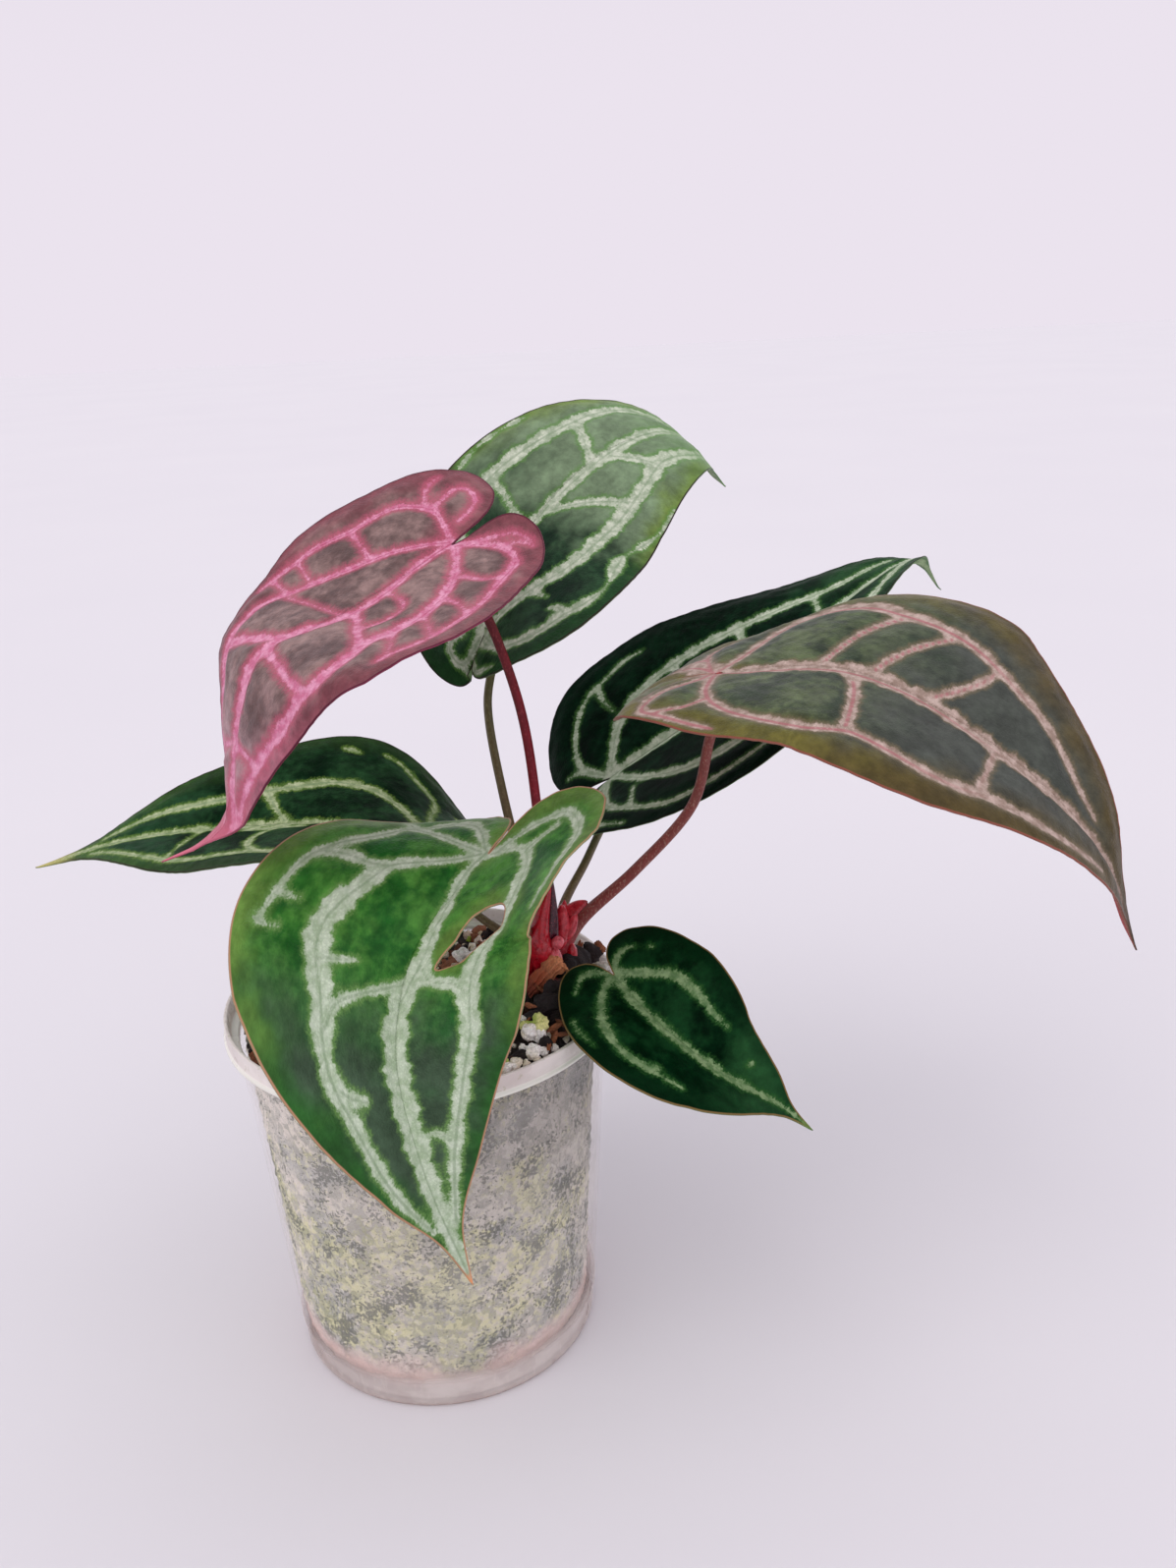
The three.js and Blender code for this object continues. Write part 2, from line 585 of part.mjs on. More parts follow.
function driedSheathGeometry() {
  // A curled, dried scale lying against the foot of the crown, in front
  const path = [[29.2, -5.6, 87.6], [31, -6.2, 90], [30.4, -6.4, 92.4], [32.4, -7.6, 94.2]];
  return sweptGeometry(path, (s) => 1.25 * Math.sin(Math.PI * (0.12 + 0.8 * s)) ** 0.8, 8, 8);
}

const plant = new THREE.Group();
plant.name = 'potted_michelle_anthurium';

function addPiece(name, geometry, color, roughness, extra = {}) {
  const material = new THREE.MeshStandardMaterial({ color, roughness, metalness: 0, ...extra });
  const mesh = new THREE.Mesh(geometry, material);
  mesh.name = name;
  plant.add(mesh);
}

addPiece('pot', potGeometry(), 0xd4d7d0, 0.35, { transparent: true, opacity: 0.55 });
addPiece('potting_mix', mixGeometry(), 0x6a6050, 0.95);
addPiece('crown', crownGeometry(), 0xa8283a, 0.5);
addPiece('dried_sheath', driedSheathGeometry(), 0x9a5a34, 0.85);
for (const [name, leaf] of Object.entries(LEAVES)) {
  const blade = name === 'front' ? tornBlade(leaf) : bladeGeometry(leaf);
  addPiece(`blade_${name}`, blade, leaf.color, 0.6);
  const stalk = sweptGeometry(stalkPath(leaf), stalkRadius(leaf), STALK_SIDES, STALK_STEPS);
  addPiece(`petiole_${name}`, stalk, leaf.stalkColor, 0.5);
}

export default plant;
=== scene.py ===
"""Looks of the potted Michelle anthurium: seven veined blades on their petioles, the red crown,
the airy mix and the clear pot. Sizes are in millimetres until a mesh is made."""

import math

import bpy
import numpy as np
from mathutils import Matrix


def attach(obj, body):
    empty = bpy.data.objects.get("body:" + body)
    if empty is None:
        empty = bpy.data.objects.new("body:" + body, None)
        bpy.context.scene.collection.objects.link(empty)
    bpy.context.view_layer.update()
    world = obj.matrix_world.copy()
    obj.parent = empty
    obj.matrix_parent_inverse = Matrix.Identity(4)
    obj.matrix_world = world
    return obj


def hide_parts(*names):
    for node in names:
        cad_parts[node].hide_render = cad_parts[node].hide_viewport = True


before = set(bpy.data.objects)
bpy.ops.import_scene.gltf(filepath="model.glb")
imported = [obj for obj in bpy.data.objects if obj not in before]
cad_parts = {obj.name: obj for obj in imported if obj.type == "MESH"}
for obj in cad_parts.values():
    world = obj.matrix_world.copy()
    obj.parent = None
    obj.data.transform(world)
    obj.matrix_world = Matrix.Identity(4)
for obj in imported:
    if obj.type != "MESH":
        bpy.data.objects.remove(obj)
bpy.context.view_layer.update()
MM = 0.001

# Blades: the shape rules of the solids, with some of the numbers fitted closer
ATTACH = 0.02          # where the petiole meets the blade, as a share of its length
FAN = 0.22             # share of the outline that fans from the petiole
WAVE, WAVE_COUNT = 0.55, 4
NOTCH_HALF, NOTCH_SHARE = 0.03, 0.27
MIDRIB_STEPS = 96
LARGE_BLADE = 70       # a longer blade has the larger grid of rows and columns
LARGE_GRID, SMALL_GRID = (150, 62), (110, 46)
EDGE_THICKNESS, EXTRA_THICKNESS = 0.34, 0.3
BAND_BLEND = 0.5       # how softly pale bands run together
STALK_STEPS, STALK_SIDES = 130, 20
HALF_OUTLINE = [
    (0, 0), (-0.08, 0.03), (-0.125, 0.09), (-0.115, 0.17), (-0.03, 0.255), (0.10, 0.31),
    (0.25, 0.325), (0.43, 0.285), (0.60, 0.20), (0.75, 0.11), (0.87, 0.035), (1, 0),
]
TEAR = [
    (0.304, -0.139), (0.200, -0.203), (0.165, -0.217), (0.117, -0.180),
    (0.112, -0.139), (0.157, -0.100), (0.240, -0.093), (0.317, -0.070),
]
LEAVES = {
    "back": dict(
        rib=[(18, 28, 161), (30, 41.5, 183.5), (48, 48.5, 198.5), (65, 60, 200), (79, 79, 185)],
        roll=5, twist=6,
        right=dict(fold=(36, 2, 4), arch=(14, 11), droop=3, lobe=0.87, width=(1.02, 0.98, 1.1)),
        left=dict(fold=(70, 18, 4), arch=(8, 8), droop=45, lobe=1.06, width=(0.7, 0.81, 1.09)),
        pinch=1, ease=11,
        stalk=[(27.2, 3.6, 95.5), (25.4, 6, 106), (20.6, 15.5, 127), (17.8, 26, 145)],
        stalk_r=0.95,
    ),
    "pink": dict(
        rib=[(15, -1, 187), (5.6, -8.9, 182.4), (-3.5, -16.5, 178), (-12.1, -23.4, 175.4),
             (-19.5, -29, 171), (-23.9, -32.4, 159.9), (-26.6, -33.9, 150), (-29.1, -33.4, 141.8),
             (-35.2, -32.6, 136.8), (-43.2, -32, 133.8)],
        roll=-3, twist=8,
        right=dict(fold=(23, 3, -23), arch=(-5, 11), droop=10, lobe=1.58,
                   width=(1, 0.99, 0.8, 0.72)),
        left=dict(fold=(-22, -3, -16), arch=(-19, 20), droop=-60, lobe=1.11,
                  width=(0.95, 1.2, 0.74, 0.03)),
        stalk=[(29, 0.4, 96.5), (29.2, 0.2, 104), (28.6, 1, 129.5), (26.4, 2.4, 151),
               (20.8, 2.6, 171)],
        stalk_r=1.05,
    ),
    "right_back": dict(
        rib=[(45.5, 39.5, 121), (74.5, 39, 140.5), (100, 44, 159), (121, 53.5, 168.5),
             (132.5, 67, 158)],
        roll=15, twist=-15,
        right=dict(fold=(23, 4, 17), arch=(8, 15), droop=15, lobe=1.4, width=(0.98, 1, 0.7, 0.2)),
        left=dict(fold=(15, 17, 12), arch=(-5, 15), droop=32, lobe=1.03,
                  width=(1.07, 0.98, 0.9, 0.3)),
        stalk=[(31.2, 3.4, 95), (33, 9, 101.6), (38.4, 22, 106.4), (43.4, 34, 111.4)],
        stalk_r=0.95,
    ),
    "bronze": dict(
        rib=[(66.5, -7, 159), (92.5, -17.5, 161), (115, -30.5, 150.5), (135, -37.5, 131.5),
             (147, -35, 106)],
        roll=1, twist=7,
        right=dict(fold=(8, 3, 18), arch=(14, 15), droop=53, lobe=1.26, width=(0.99, 1.01, 0.99)),
        left=dict(fold=(-2, 19, 7), arch=(17, 2), droop=42, lobe=1.75, width=(0.98, 1.10, 0.98)),
        pinch=1,
        stalk=[(31.4, -0.6, 94.6), (37.4, 0.6, 102.3), (49.5, 1, 113), (62.2, 0, 127.8),
               (66.2, -2.8, 144)],
        stalk_r=1.15, foot=1.15,
    ),
    "left": dict(
        rib=[(2, 20.5, 115), (-20.5, 25, 118), (-45.5, 30, 116.5), (-71.5, 33.5, 113.5),
             (-97, 35.5, 106.5)],
        roll=16, twist=-20,
        right=dict(fold=(-14, 32, -9), arch=(-4, 6), droop=12, lobe=1.29, width=(1.14, 0.95, 1)),
        left=dict(fold=(10, -1, -5), arch=(8, 9), droop=12, lobe=1.3, width=(1, 0.99, 1.03)),
        stalk=[(26.2, 1.8, 93.6), (20.8, 3.2, 97), (13, 8, 101), (6, 14, 106)],
        stalk_r=0.95,
    ),
    "front": dict(
        rib=[(19.5, -23, 128.5), (5.5, -38, 116), (2, -55, 102.5), (6.5, -65.5, 83.5),
             (14, -68.5, 60.5)],
        roll=-3, twist=-38,
        right=dict(fold=(-20, 39, 17), arch=(10, 4), droop=34, lobe=1.02,
                   width=(1.05, 1.24, 0.99)),
        left=dict(fold=(-6, 14, -6), arch=(-39, 7), droop=0, lobe=1.82, width=(1.12, 1.09, 0.96)),
        pinch=0.65,
        stalk=[(27, -1.8, 94.6), (25.4, -6, 101.5), (23.4, -13, 112)],
        stalk_r=1.1,
    ),
    "small": dict(
        rib=[(43.5, -15.5, 96), (52, -26, 90), (62.5, -31.5, 82.5), (73.5, -32.5, 75),
             (83.5, -33, 66.5)],
        roll=25, twist=-17,
        right=dict(fold=(3, 22, 22), arch=(11, 10), droop=20, lobe=1.08, width=(0.94, 0.99, 0.96)),
        left=dict(fold=(6, 22, 19), arch=(10, 9), droop=20, lobe=1.09, width=(1.02, 1.03, 1.05)),
        stalk=[(30.4, -2.4, 88.6), (35, -6.8, 90.4), (40.4, -11.6, 91.6)],
        stalk_r=0.8,
    ),
}

# Veins, in hundredths of the blade's length: first the width of the pale band at even steps,
# then points (along the midrib, across it to the right). The first vein is the midrib.
VEINS = {
    "back": [
        ((2.4, 2.4, 2.2, 2.6, 2.6, 2.2, 1.6, 1), (0, 0), (8, -.6), (16, -1), (24, -.6), (32, .6),
         (40, 1.2), (48, 1.3), (55, .8), (62, 0), (70, -1), (80, -1), (90, 0), (98, 0)),
        ((2, 2.4, 3, 3.2, 3, 2.8, 3.4, 2.6, 2, 1.6), (2, 1), (7, 5), (12, 10), (15.6, 13.4),
         (20, 16.4), (25, 18), (31, 18.4), (38, 18.2), (44, 17), (50, 15), (55, 12.8), (60, 10.2),
         (65, 9), (70, 8.4), (75, 6.8), (80, 4.4), (86, 1.8), (92, .8)),
        ((1.4, 1.8, 2.4), (33, 2), (37, 6), (41, 10), (46, 15.4)),
        ((2.4, 2, 2.6), (52, 2), (55, 5), (59, 9.4)),
        ((1.6, 2.2, 2.4, 2.6, 2.6, 2.4, 2, .3, 1.9, .2, .2, 1.5, 0, .9, 0), (-.5, 1.6), (-3, 8),
         (-3, 13), (-1, 17.6), (2, 20.6), (6, 23), (10, 26.4), (15, 28.4), (20, 28.4), (26, 27),
         (33, 26.4), (41, 26.4), (48, 25.6), (55, 22.6)),
        ((1.6, 1.2, .5), (7, 23), (8, 20), (7.4, 17.6)),
        ((1.4, 1, .4), (12, 10), (11, 13), (10.6, 16)),
        ((1, 2.6, .8), (22, 27.8), (26, 27), (31, 26)),
        ((2, 2.2, 2.4, 2.6, 2.6, 2.4, 2, 1.4), (2, -1.4), (7, -6), (13, -10.6), (20, -14),
         (28, -15), (35, -14.8), (42, -13.6), (50, -12.4), (57, -12), (64, -11), (70, -8.4),
         (77, -4.4), (84, -1.8)),
        ((1.6, 1.6, 2), (48, -.6), (50, -5), (51.4, -9), (52.6, -12.6)),
        ((1.4, 1, 1.6), (27, -1), (29, -6), (31, -11), (31, -14.6)),
        ((1.6, 1.5, 1.5, 1.4, 1.2, 1), (-.6, -.8), (-3.5, -1.2), (-6.6, -2), (-8.2, -3.4),
         (-8, -5.4), (-6.2, -7), (-3.6, -6.6), (-.6, -4.6), (3, -3.6)),
        ((1, 1, 1), (-7.6, -3), (-9, -1.6), (-9.4, -.6)),
        ((1, 1.2, 1, .6), (-6.8, .8), (-9.2, 4.6), (-9, 9), (-8.4, 13)),
        ((1.6, 1.8, 1.4), (-.6, 0), (-2.2, 2.6), (-2.6, 5.4)),
        ((0, 1.2, 0, 1.3, 0, 1, 0, 1.2, 0), (24, -20.5), (29, -22.2), (35, -23), (40, -22.4),
         (46, -21)),
    ],
    "pink": [
        ((1.8, 2.4, 2.4, 2.6, 3, 4, 4.6, 4, 3.2, 2.6, 2, 1.4), (0, .4), (10, 0), (18, -1.4),
         (26, -2), (33, -1.6), (38, .2), (43, 2.6), (49, 3.4), (55, 3), (62, 2.4), (69, 1),
         (75, -.6), (81, -2.6), (87, -2.6), (94, -1), (99, -.1)),
        ((1.6, 2, 2.2, 2.2, 2, 2.6, 3, 2.4, 2, 1.4), (0, 1), (5, 5), (10, 8.6), (15, 11),
         (20, 13.6), (25, 16.6), (30, 19.2), (34, 21.8), (38, 23.2), (43, 22.8), (47, 21),
         (52, 18), (58, 15.8), (64, 15), (69, 12.6), (74, 8.6), (79, 3.6), (84, .6)),
        ((2.4, 3, 3), (42, 3), (44, 8), (45.2, 13), (47.6, 19.4)),
        ((1.6, 1.4, 1.8), (66, 3), (67.6, 8), (68.6, 13)),
        ((.7, .6, .6), (30.4, 0), (30.8, 8), (31.8, 18.6)),
        ((1.4, 1.8, 1.8, 1.6, 1.6, 1.4, 1), (-.5, 1), (-3, 6), (-4.6, 10.6), (-3, 15), (0, 18.6),
         (5, 20.6), (10, 21.8), (13.6, 23.6), (18, 25.6), (23, 26.6), (28, 28), (33, 29)),
        ((1.4, 1.3, 1.6), (10.6, 21), (12, 16), (13.8, 11)),
        ((1, .8, .8), (22.6, 26), (23.6, 22.6), (25, 19)),
        ((1, .8, .9), (29.5, 28), (30, 24), (30.5, 20)),
        ((1.2, 1.2, 1.2, 1, .8), (-4.6, 11.4), (-8.4, 12.2), (-12, 12.8), (-14.6, 11.4),
         (-13.8, 8), (-10.6, 5.8), (-5.6, 4.6)),
        ((1, .8, .4), (-4, 13), (-8, 17), (-13, 18)),
        ((1.8, 2.4, 3, 3.4, 3.4, 3.6, 3.4, 3, 2.2, 1.6), (0, -1), (4.6, -6.6), (9.4, -11.2),
         (15, -15), (21, -17.6), (28, -18.6), (35, -19.2), (40, -21), (45, -22), (49.6, -21),
         (53, -18.2), (58, -15.4), (63, -12), (68, -8.6), (73, -5.8), (78, -4.4), (84, -3.4)),
        ((1.6, 2, 2.4), (28.4, -2.8), (30.6, -6.6), (33.2, -11), (35.8, -16), (38, -19.6)),
        ((2.2, 2, 2.2), (47, 1), (48.8, -6), (50.6, -12), (51.8, -18.4)),
        ((1.4, 1.2, 1.4), (66, 1), (67, -3), (68.2, -7.6)),
        ((.8, .8, .8), (19.6, -2.5), (20, -7), (22.6, -11), (28, -11.6), (33, -10.6)),
        ((1.6, 2, 2.4, 2, 1.8, 1.4, 1), (-.4, -1.2), (-3, -5), (-4.8, -9.4), (-4.6, -14),
         (-2, -17.8), (2, -20), (7, -22.4), (12.4, -25.4), (18, -27.6), (25, -29.4), (33, -30.8),
         (40, -29.6)),
        ((1.4, 1.2, 1.4), (7.4, -12.6), (6.6, -16.6), (4.4, -20)),
        ((1.2, 1, 1.2), (15.6, -16.4), (16.4, -22), (18.6, -27)),
        ((1, .8, .8), (22.6, -18.6), (25.4, -24), (28, -29)),
        ((1.2, .8, .6), (31, -20), (35, -26), (38.6, -30.4)),
        ((1.2, 1.2, 1, .8), (-1, -1.4), (-6, -6), (-9.6, -10.4), (-10, -16)),
        ((1, .8, .6), (-4.8, -9), (-8, -13), (-8.6, -17.4)),
    ],
    "right_back": [
        ((3, 4, 3.4, 3, 3, 2.4, 1.8, 1.2), (0, 0), (8, 0), (18, 0), (30, 0), (45, .4), (60, .8),
         (72, 1), (84, .4), (96, 0)),
        ((2.2, 2.6, 3, 2.6, 2.4, 2.4, 2, 1.4), (1.4, 1.4), (4.6, 6.6), (8, 11), (12, 14.4),
         (17, 17.6), (22, 19.4), (28, 20.2), (36, 19.8), (45, 18), (54, 14.6), (62, 10.8),
         (70, 6.6), (78, 3), (85, 1)),
        ((1.6, 1.6, 2), (24, 1.5), (27, 8), (30.4, 14), (33, 19.6)),
        ((1.6, 1.4, 1.8), (44, 1.8), (47, 8), (50, 15.6)),
        ((1.6, 2, 2, 1.6, 1.6, 1.4, 1, .6), (-.5, 1.6), (-1, 8), (-1, 14), (.6, 18), (4, 20.8),
         (8, 24), (12, 26.4), (17, 27.6), (24, 27.4), (32, 26.4), (40, 24)),
        ((1.2, 1, .5), (4, 20.8), (5, 16.4), (5.8, 12.6)),
        ((1.4, 1.8, 1.6, 1.2, .8), (-.8, 1.6), (-5, 7), (-9, 12), (-8, 18), (-3, 22.4), (2, 25.6)),
        ((2, 2.4, 2.4, 2.6, 2.8, 2.6, 2.2, 1.6, 1), (1, -1.4), (3.4, -6.4), (6.6, -11.4),
         (11, -15), (17, -17.6), (25, -18.4), (33, -18), (40, -16.4), (47, -14), (54, -11),
         (60, -8.2), (66, -5.8), (72, -4.6), (79, -3)),
        ((1.4, 1.2, 1.6), (21, -1.6), (22.4, -8), (24, -15), (25, -18.4)),
        ((1.6, 1.4, 1.8), (38, -1.6), (40, -7), (43, -14.6)),
        ((1.2, 1, 1.2), (57, -1), (58.4, -4), (60, -8)),
        ((1.4, 1.4, 1.2, 1.2, .8), (-.8, -1.6), (-3.6, -5.6), (-5, -10), (-3.4, -15.4), (-.6, -20),
         (3, -23.6), (6, -25)),
        ((1, .9, .6), (6, -25), (6, -20), (7, -16)),
        ((.6, .8, .4), (6, -25), (14, -28), (20, -28)),
        ((1, 1, .5), (-2, -3), (-6, -7), (-9.4, -8.4)),
    ],
    "bronze": [
        ((3, 6, 6, 5.4, 4.6, 4.4, 3, 2, 1.2), (0, 0), (5, 1.4), (12, 1.8), (20, 1.6), (30, 1.2),
         (38, 1), (46, 1.4), (54, 1.6), (62, 1.4), (70, .8), (80, .2), (90, 0), (98, 0)),
        ((1.8, 2.2, 2.6, 3, 2.4, 2.6, 2.6, 1.8, 1), (1, 1.5), (1.6, 8), (2.4, 13), (4.4, 17.6),
         (8, 21.5), (13, 24.5), (19, 26.4), (25, 26.2), (30, 24), (34, 21.8), (40, 21),
         (46, 20.4), (51, 18.8), (55, 16.6), (60, 14.8), (66, 12.6), (72, 9.6), (78, 6)),
        ((2.6, 2.6, 3), (27, 5), (29, 10), (30.6, 15), (32.4, 21)),
        ((1.6, 1.4, 2), (53, 3), (53.2, 9), (53.6, 16)),
        ((1.8, 2.2, 2.4, 2.4, 1.8, 1.4), (0, 1.4), (-.8, 5.5), (-3, 9.2), (-5.8, 12.6),
         (-6.8, 17), (-6.6, 21), (-3.4, 23.4), (1.6, 25.6), (7, 28)),
        ((1.6, 1.4, 1.4), (-4, 22.8), (.6, 20.2), (3.2, 16.6)),
        ((1, 1.4, .8), (-1, 1.4), (-4.6, 5), (-8, 9), (-9.6, 14)),
        ((2.4, 2.4, 3, 4.4, 4, 3, 2.6, 2.2, 1.6, 1), (1, -1), (3.6, -6), (5.6, -11), (8, -17),
         (11, -22), (16, -25), (22, -25), (27, -22.4), (33, -20.8), (39, -19), (45, -16.6),
         (51, -14.2), (57, -12), (63, -8.6), (68, -5.6), (74, -3.4)),
        ((1.8, 1.4, 1.6), (20, -2), (21.6, -7), (24, -14), (27.4, -21)),
        ((2, 1.6, 1.8), (28.6, -2), (30, -7), (32.4, -13), (35.6, -18.6)),
        ((2.4, 2, 2.2), (39.6, -2), (42, -6), (44.4, -11), (45.6, -15.4)),
        ((4, 6, 5, 3, 2), (0, -.6), (-3.6, -3.6), (-7, -6), (-11, -7), (-15, -6), (-19, -6)),
        ((1.6, 1.8, 1.6, 1), (-.6, -1.5), (-3, -8), (-4, -14), (-1, -20), (5, -25), (12, -28.6)),
        ((1.6, 1.4, .8), (-3, -8), (-8, -12), (-14, -14)),
    ],
    "left": [
        ((2.6, 3, 3, 3.4, 3, 2.6, 2.2, 1.6), (0, 0), (10, 0), (20, 0), (30, -.4), (40, -.6),
         (50, -.6), (60, -.6), (70, -.6), (80, -.4), (90, 0), (97, 0)),
        ((2, 2.2, 2.6, 2.6, 2.4, 1.8, 1.2), (1.4, 1.4), (4.6, 7), (8, 10.6), (12, 13.4),
         (17, 15.4), (23, 15.8), (29, 14.8), (35, 13), (42, 11.6), (50, 10), (58, 8.6), (66, 7.6),
         (74, 5.8), (82, 3)),
        ((1.4, 1.6, 2), (35, 1), (38.4, 5), (42, 10.6)),
        ((1.4, 1.4, 1.2, 1.2, 1, .5), (-.4, 1.6), (1.4, 8), (3.6, 14), (4.4, 20), (5.4, 23.6),
         (8.6, 26), (12.4, 27.8), (16, 29.6), (20, 30)),
        ((.5, 1.2, .4), (25, 27.6), (27, 28), (29, 27.8)),
        ((1.4, 1.6, 1.4, 1, .6), (-1, 2), (-5, 8), (-8, 14), (-5, 20), (0, 24)),
        ((2, 2.6, 2.8, 2.2, 2, 1.8, 1.4, 1), (1, -1.4), (3, -8), (7, -15), (13, -21), (20, -24.4),
         (27, -25), (33, -22.8), (40, -21.2), (48, -20), (56, -17.4), (63, -13.8), (70, -10),
         (77, -6), (84, -2.8)),
        ((1.6, 1.8, 2), (34, -1.5), (37, -7), (38, -12), (36.4, -17), (33.4, -22)),
        ((1, .8, 1), (55, -1), (57, -8), (59, -15.6)),
        ((1, 3, 1.5), (29, -3.6), (36, -4), (45, -3.4)),
        ((1.4, 1.6, 1.4, 1, .6), (-1, -1.6), (-6, -8), (-9, -15), (-4, -21), (4, -25)),
    ],
    "front": [
        ((1.6, 2.4, 3.6, 5.2, 5.2, 4.6, 3.4, 2), (0, .6), (5, 1.2), (10, .6), (15, -1), (20, -2),
         (26, -3), (31, -2.8), (36, -1.5), (42, 0), (50, .3), (60, 0), (70, 0), (80, 0), (90, 0),
         (98, 0)),
        ((1.6, 2.2, 3.4, 4.6, 4, 3.2, 2.6, 2, 1), (1, 1.5), (6, 6.5), (11, 12), (15, 15.5),
         (20, 16.5), (25, 18.5), (30, 19.8), (36, 19), (42, 17), (48, 16.6), (54, 15.5), (60, 13),
         (66, 11.2), (72, 9.3), (78, 6.4), (85, 3)),
        ((1.8, 1.8, 2.4), (35, 0), (38, 5), (40.5, 10), (43, 14), (47, 16)),
        ((2, 1.2, .6), (35.5, 18), (34.6, 14), (33.6, 10.5)),
        ((2.6, 2, .8), (55.5, 14), (57.3, 11), (57.8, 8)),
        ((1.6, 2, 2, 2, 2.2, 1.4, 1, .6), (.5, 2), (1, 8), (1.2, 14), (2, 20), (4, 23), (8, 23.5),
         (12, 25), (16, 27.5), (21, 30), (26, 31), (32, 32)),
        ((2, 1.6, 1), (2, 22), (1, 26), (.5, 29)),
        ((.8, .6, .3), (27, 31), (27, 27), (26.5, 25.5)),
        ((1.2, 1, .4), (32.5, 33), (33, 30), (32.5, 27.5)),
        ((1.8, 1.8, 2), (19, 28.5), (17.3, 24), (16.4, 19), (15, 16)),
        ((1.6, 2.6, 2.8, 2), (-.5, 1.5), (-4, 6), (-6, 11), (-5, 16), (-.5, 20)),
        ((1.8, 2.6, 3.4, 5, 5, 4.6, 3.2, 2.6, 2, 1.2), (0, -.8), (-2.4, -4), (-3.4, -8),
         (-1, -12), (4, -15.5), (10, -18.5), (17, -20.5), (24, -20), (30, -18.6), (36, -17.3),
         (42, -17.2), (48, -17), (54, -15), (60, -12.6), (66, -9.8), (72, -7), (78, -5),
         (86, -2.2)),
        ((3, 2.6, 3), (31, -3.5), (34.5, -6), (35.6, -9), (36.6, -13), (39, -16)),
        ((1.6, 1.8, 2.4, 2.2, 1.6, 1.2), (-1.5, -2), (-7, -4), (-12, -6.8), (-15.8, -11),
         (-14, -16), (-10, -20), (-4, -24), (4, -28), (12, -31)),
        ((1.6, 1.4, 1.2), (-3.4, -9), (-8, -10), (-12.5, -11.5)),
        ((2, 1.2, .5), (70, -8), (67, -5), (66.5, -3)),
    ],
    "small": [
        ((2.6, 3.4, 3.2, 3.4, 3.8, 3, 1.6, 1), (0, .4), (10, 1), (22, .8), (36, .8), (50, 1),
         (62, 1.4), (74, .8), (86, -.4), (97, 0)),
        ((2, 2.4, 2.6, 2.2, 1.6, .8), (.6, 2), (4, 7.4), (8.6, 12), (14, 16), (20, 19),
         (27, 20.8), (34, 20.4), (41, 19.2), (48, 18.4)),
        ((1.8, .6), (35.5, 20), (38.5, 16.5)),
        ((2, 2.8, 3, 2.6, 1.8, .8), (.6, -1.4), (5, -6), (10, -11), (15, -15.6), (21, -18),
         (28, -18.4), (35, -17.8), (42, -16), (50, -15)),
        ((1.4, 2, 1.8, 1, .5), (-1.6, 2), (-5, 6), (-6.8, 10), (-4.4, 13.6), (-1.4, 17.6)),
        ((1.4, 1.8, 1.8, .8), (-1.4, -1), (-4.6, -5.4), (-5.2, -10), (-2.8, -14.4)),
        ((1.2, .6), (1, -18), (2, -18.6)),
        ((1, 1.4, .4), (65, -7), (66, -8.6), (66.4, -9.8)),
        ((.3, .5, .2), (8, 25), (14, 26.5), (22, 27)),
    ],
}

# Factors on the widths of a blade's pale bands
VEIN_WIDTH = {"back": 1.3, "pink": 0.85, "bronze": 0.98, "front": 1.2, "small": 1.4}


# Curves and grids

def spline(points, share):
    """Smooth curve through rows of numbers at shares 0 to 1 (uniform Catmull-Rom, its ends
    mirrored): in each span half of 2b + (c-a)w + (2a-5b+4c-d)w^2 + (3b-a-3c+d)w^3."""
    p = np.asarray(points, float)
    last = len(p) - 1
    t = np.asarray(share, float) * last
    i = np.clip(t.astype(int), 0, last - 1)
    w = (t - i)[..., None]
    q = np.vstack([2 * p[:1] - p[1:2], p, 2 * p[-1:] - p[-2:-1]])
    a, b, c, d = q[i], q[i + 1], q[i + 2], q[i + 3]
    return 0.5 * (2 * b + (c - a) * w + (2 * a - 5 * b + 4 * c - d) * w ** 2
                  + (3 * b - a - 3 * c + d) * w ** 3)


def unit(v):
    """Rows of v divided by their lengths."""
    return v / np.maximum(np.linalg.norm(v, axis=-1, keepdims=True), 1e-12)


def grid_faces(rows, columns, start=0):
    """Quads of a rows x columns grid: point r, c is number r * columns + c."""
    r, c = np.meshgrid(np.arange(rows - 1), np.arange(columns - 1), indexing="ij")
    k = (r * columns + c).ravel() + start
    return np.stack([k, k + 1, k + columns + 1, k + columns], 1)


def smoothstep(x, low, high):
    """0 below low, 1 above high, and 3u^2 - 2u^3 between."""
    u = np.clip((x - low) / (high - low), 0, 1)
    return u * u * (3 - 2 * u)


def to_polyline(points, line):
    """For each 2-D point, the distance to a polyline and the length run along it to the
    nearest place: the least over all segments of the distance to the clamped foot."""
    a, step = line[:-1], np.diff(line, axis=0)
    length = np.linalg.norm(step, axis=1)
    run0 = np.r_[0, np.cumsum(length)[:-1]]
    rel = points[:, None] - a[None]
    w = np.clip((rel * step).sum(-1) / np.maximum(length ** 2, 1e-12), 0, 1)
    away = np.linalg.norm(rel - w[..., None] * step, axis=-1)
    k = away.argmin(1)
    rows = np.arange(len(points))
    return away[rows, k], run0[k] + w[rows, k] * length[k]


# Blade shape

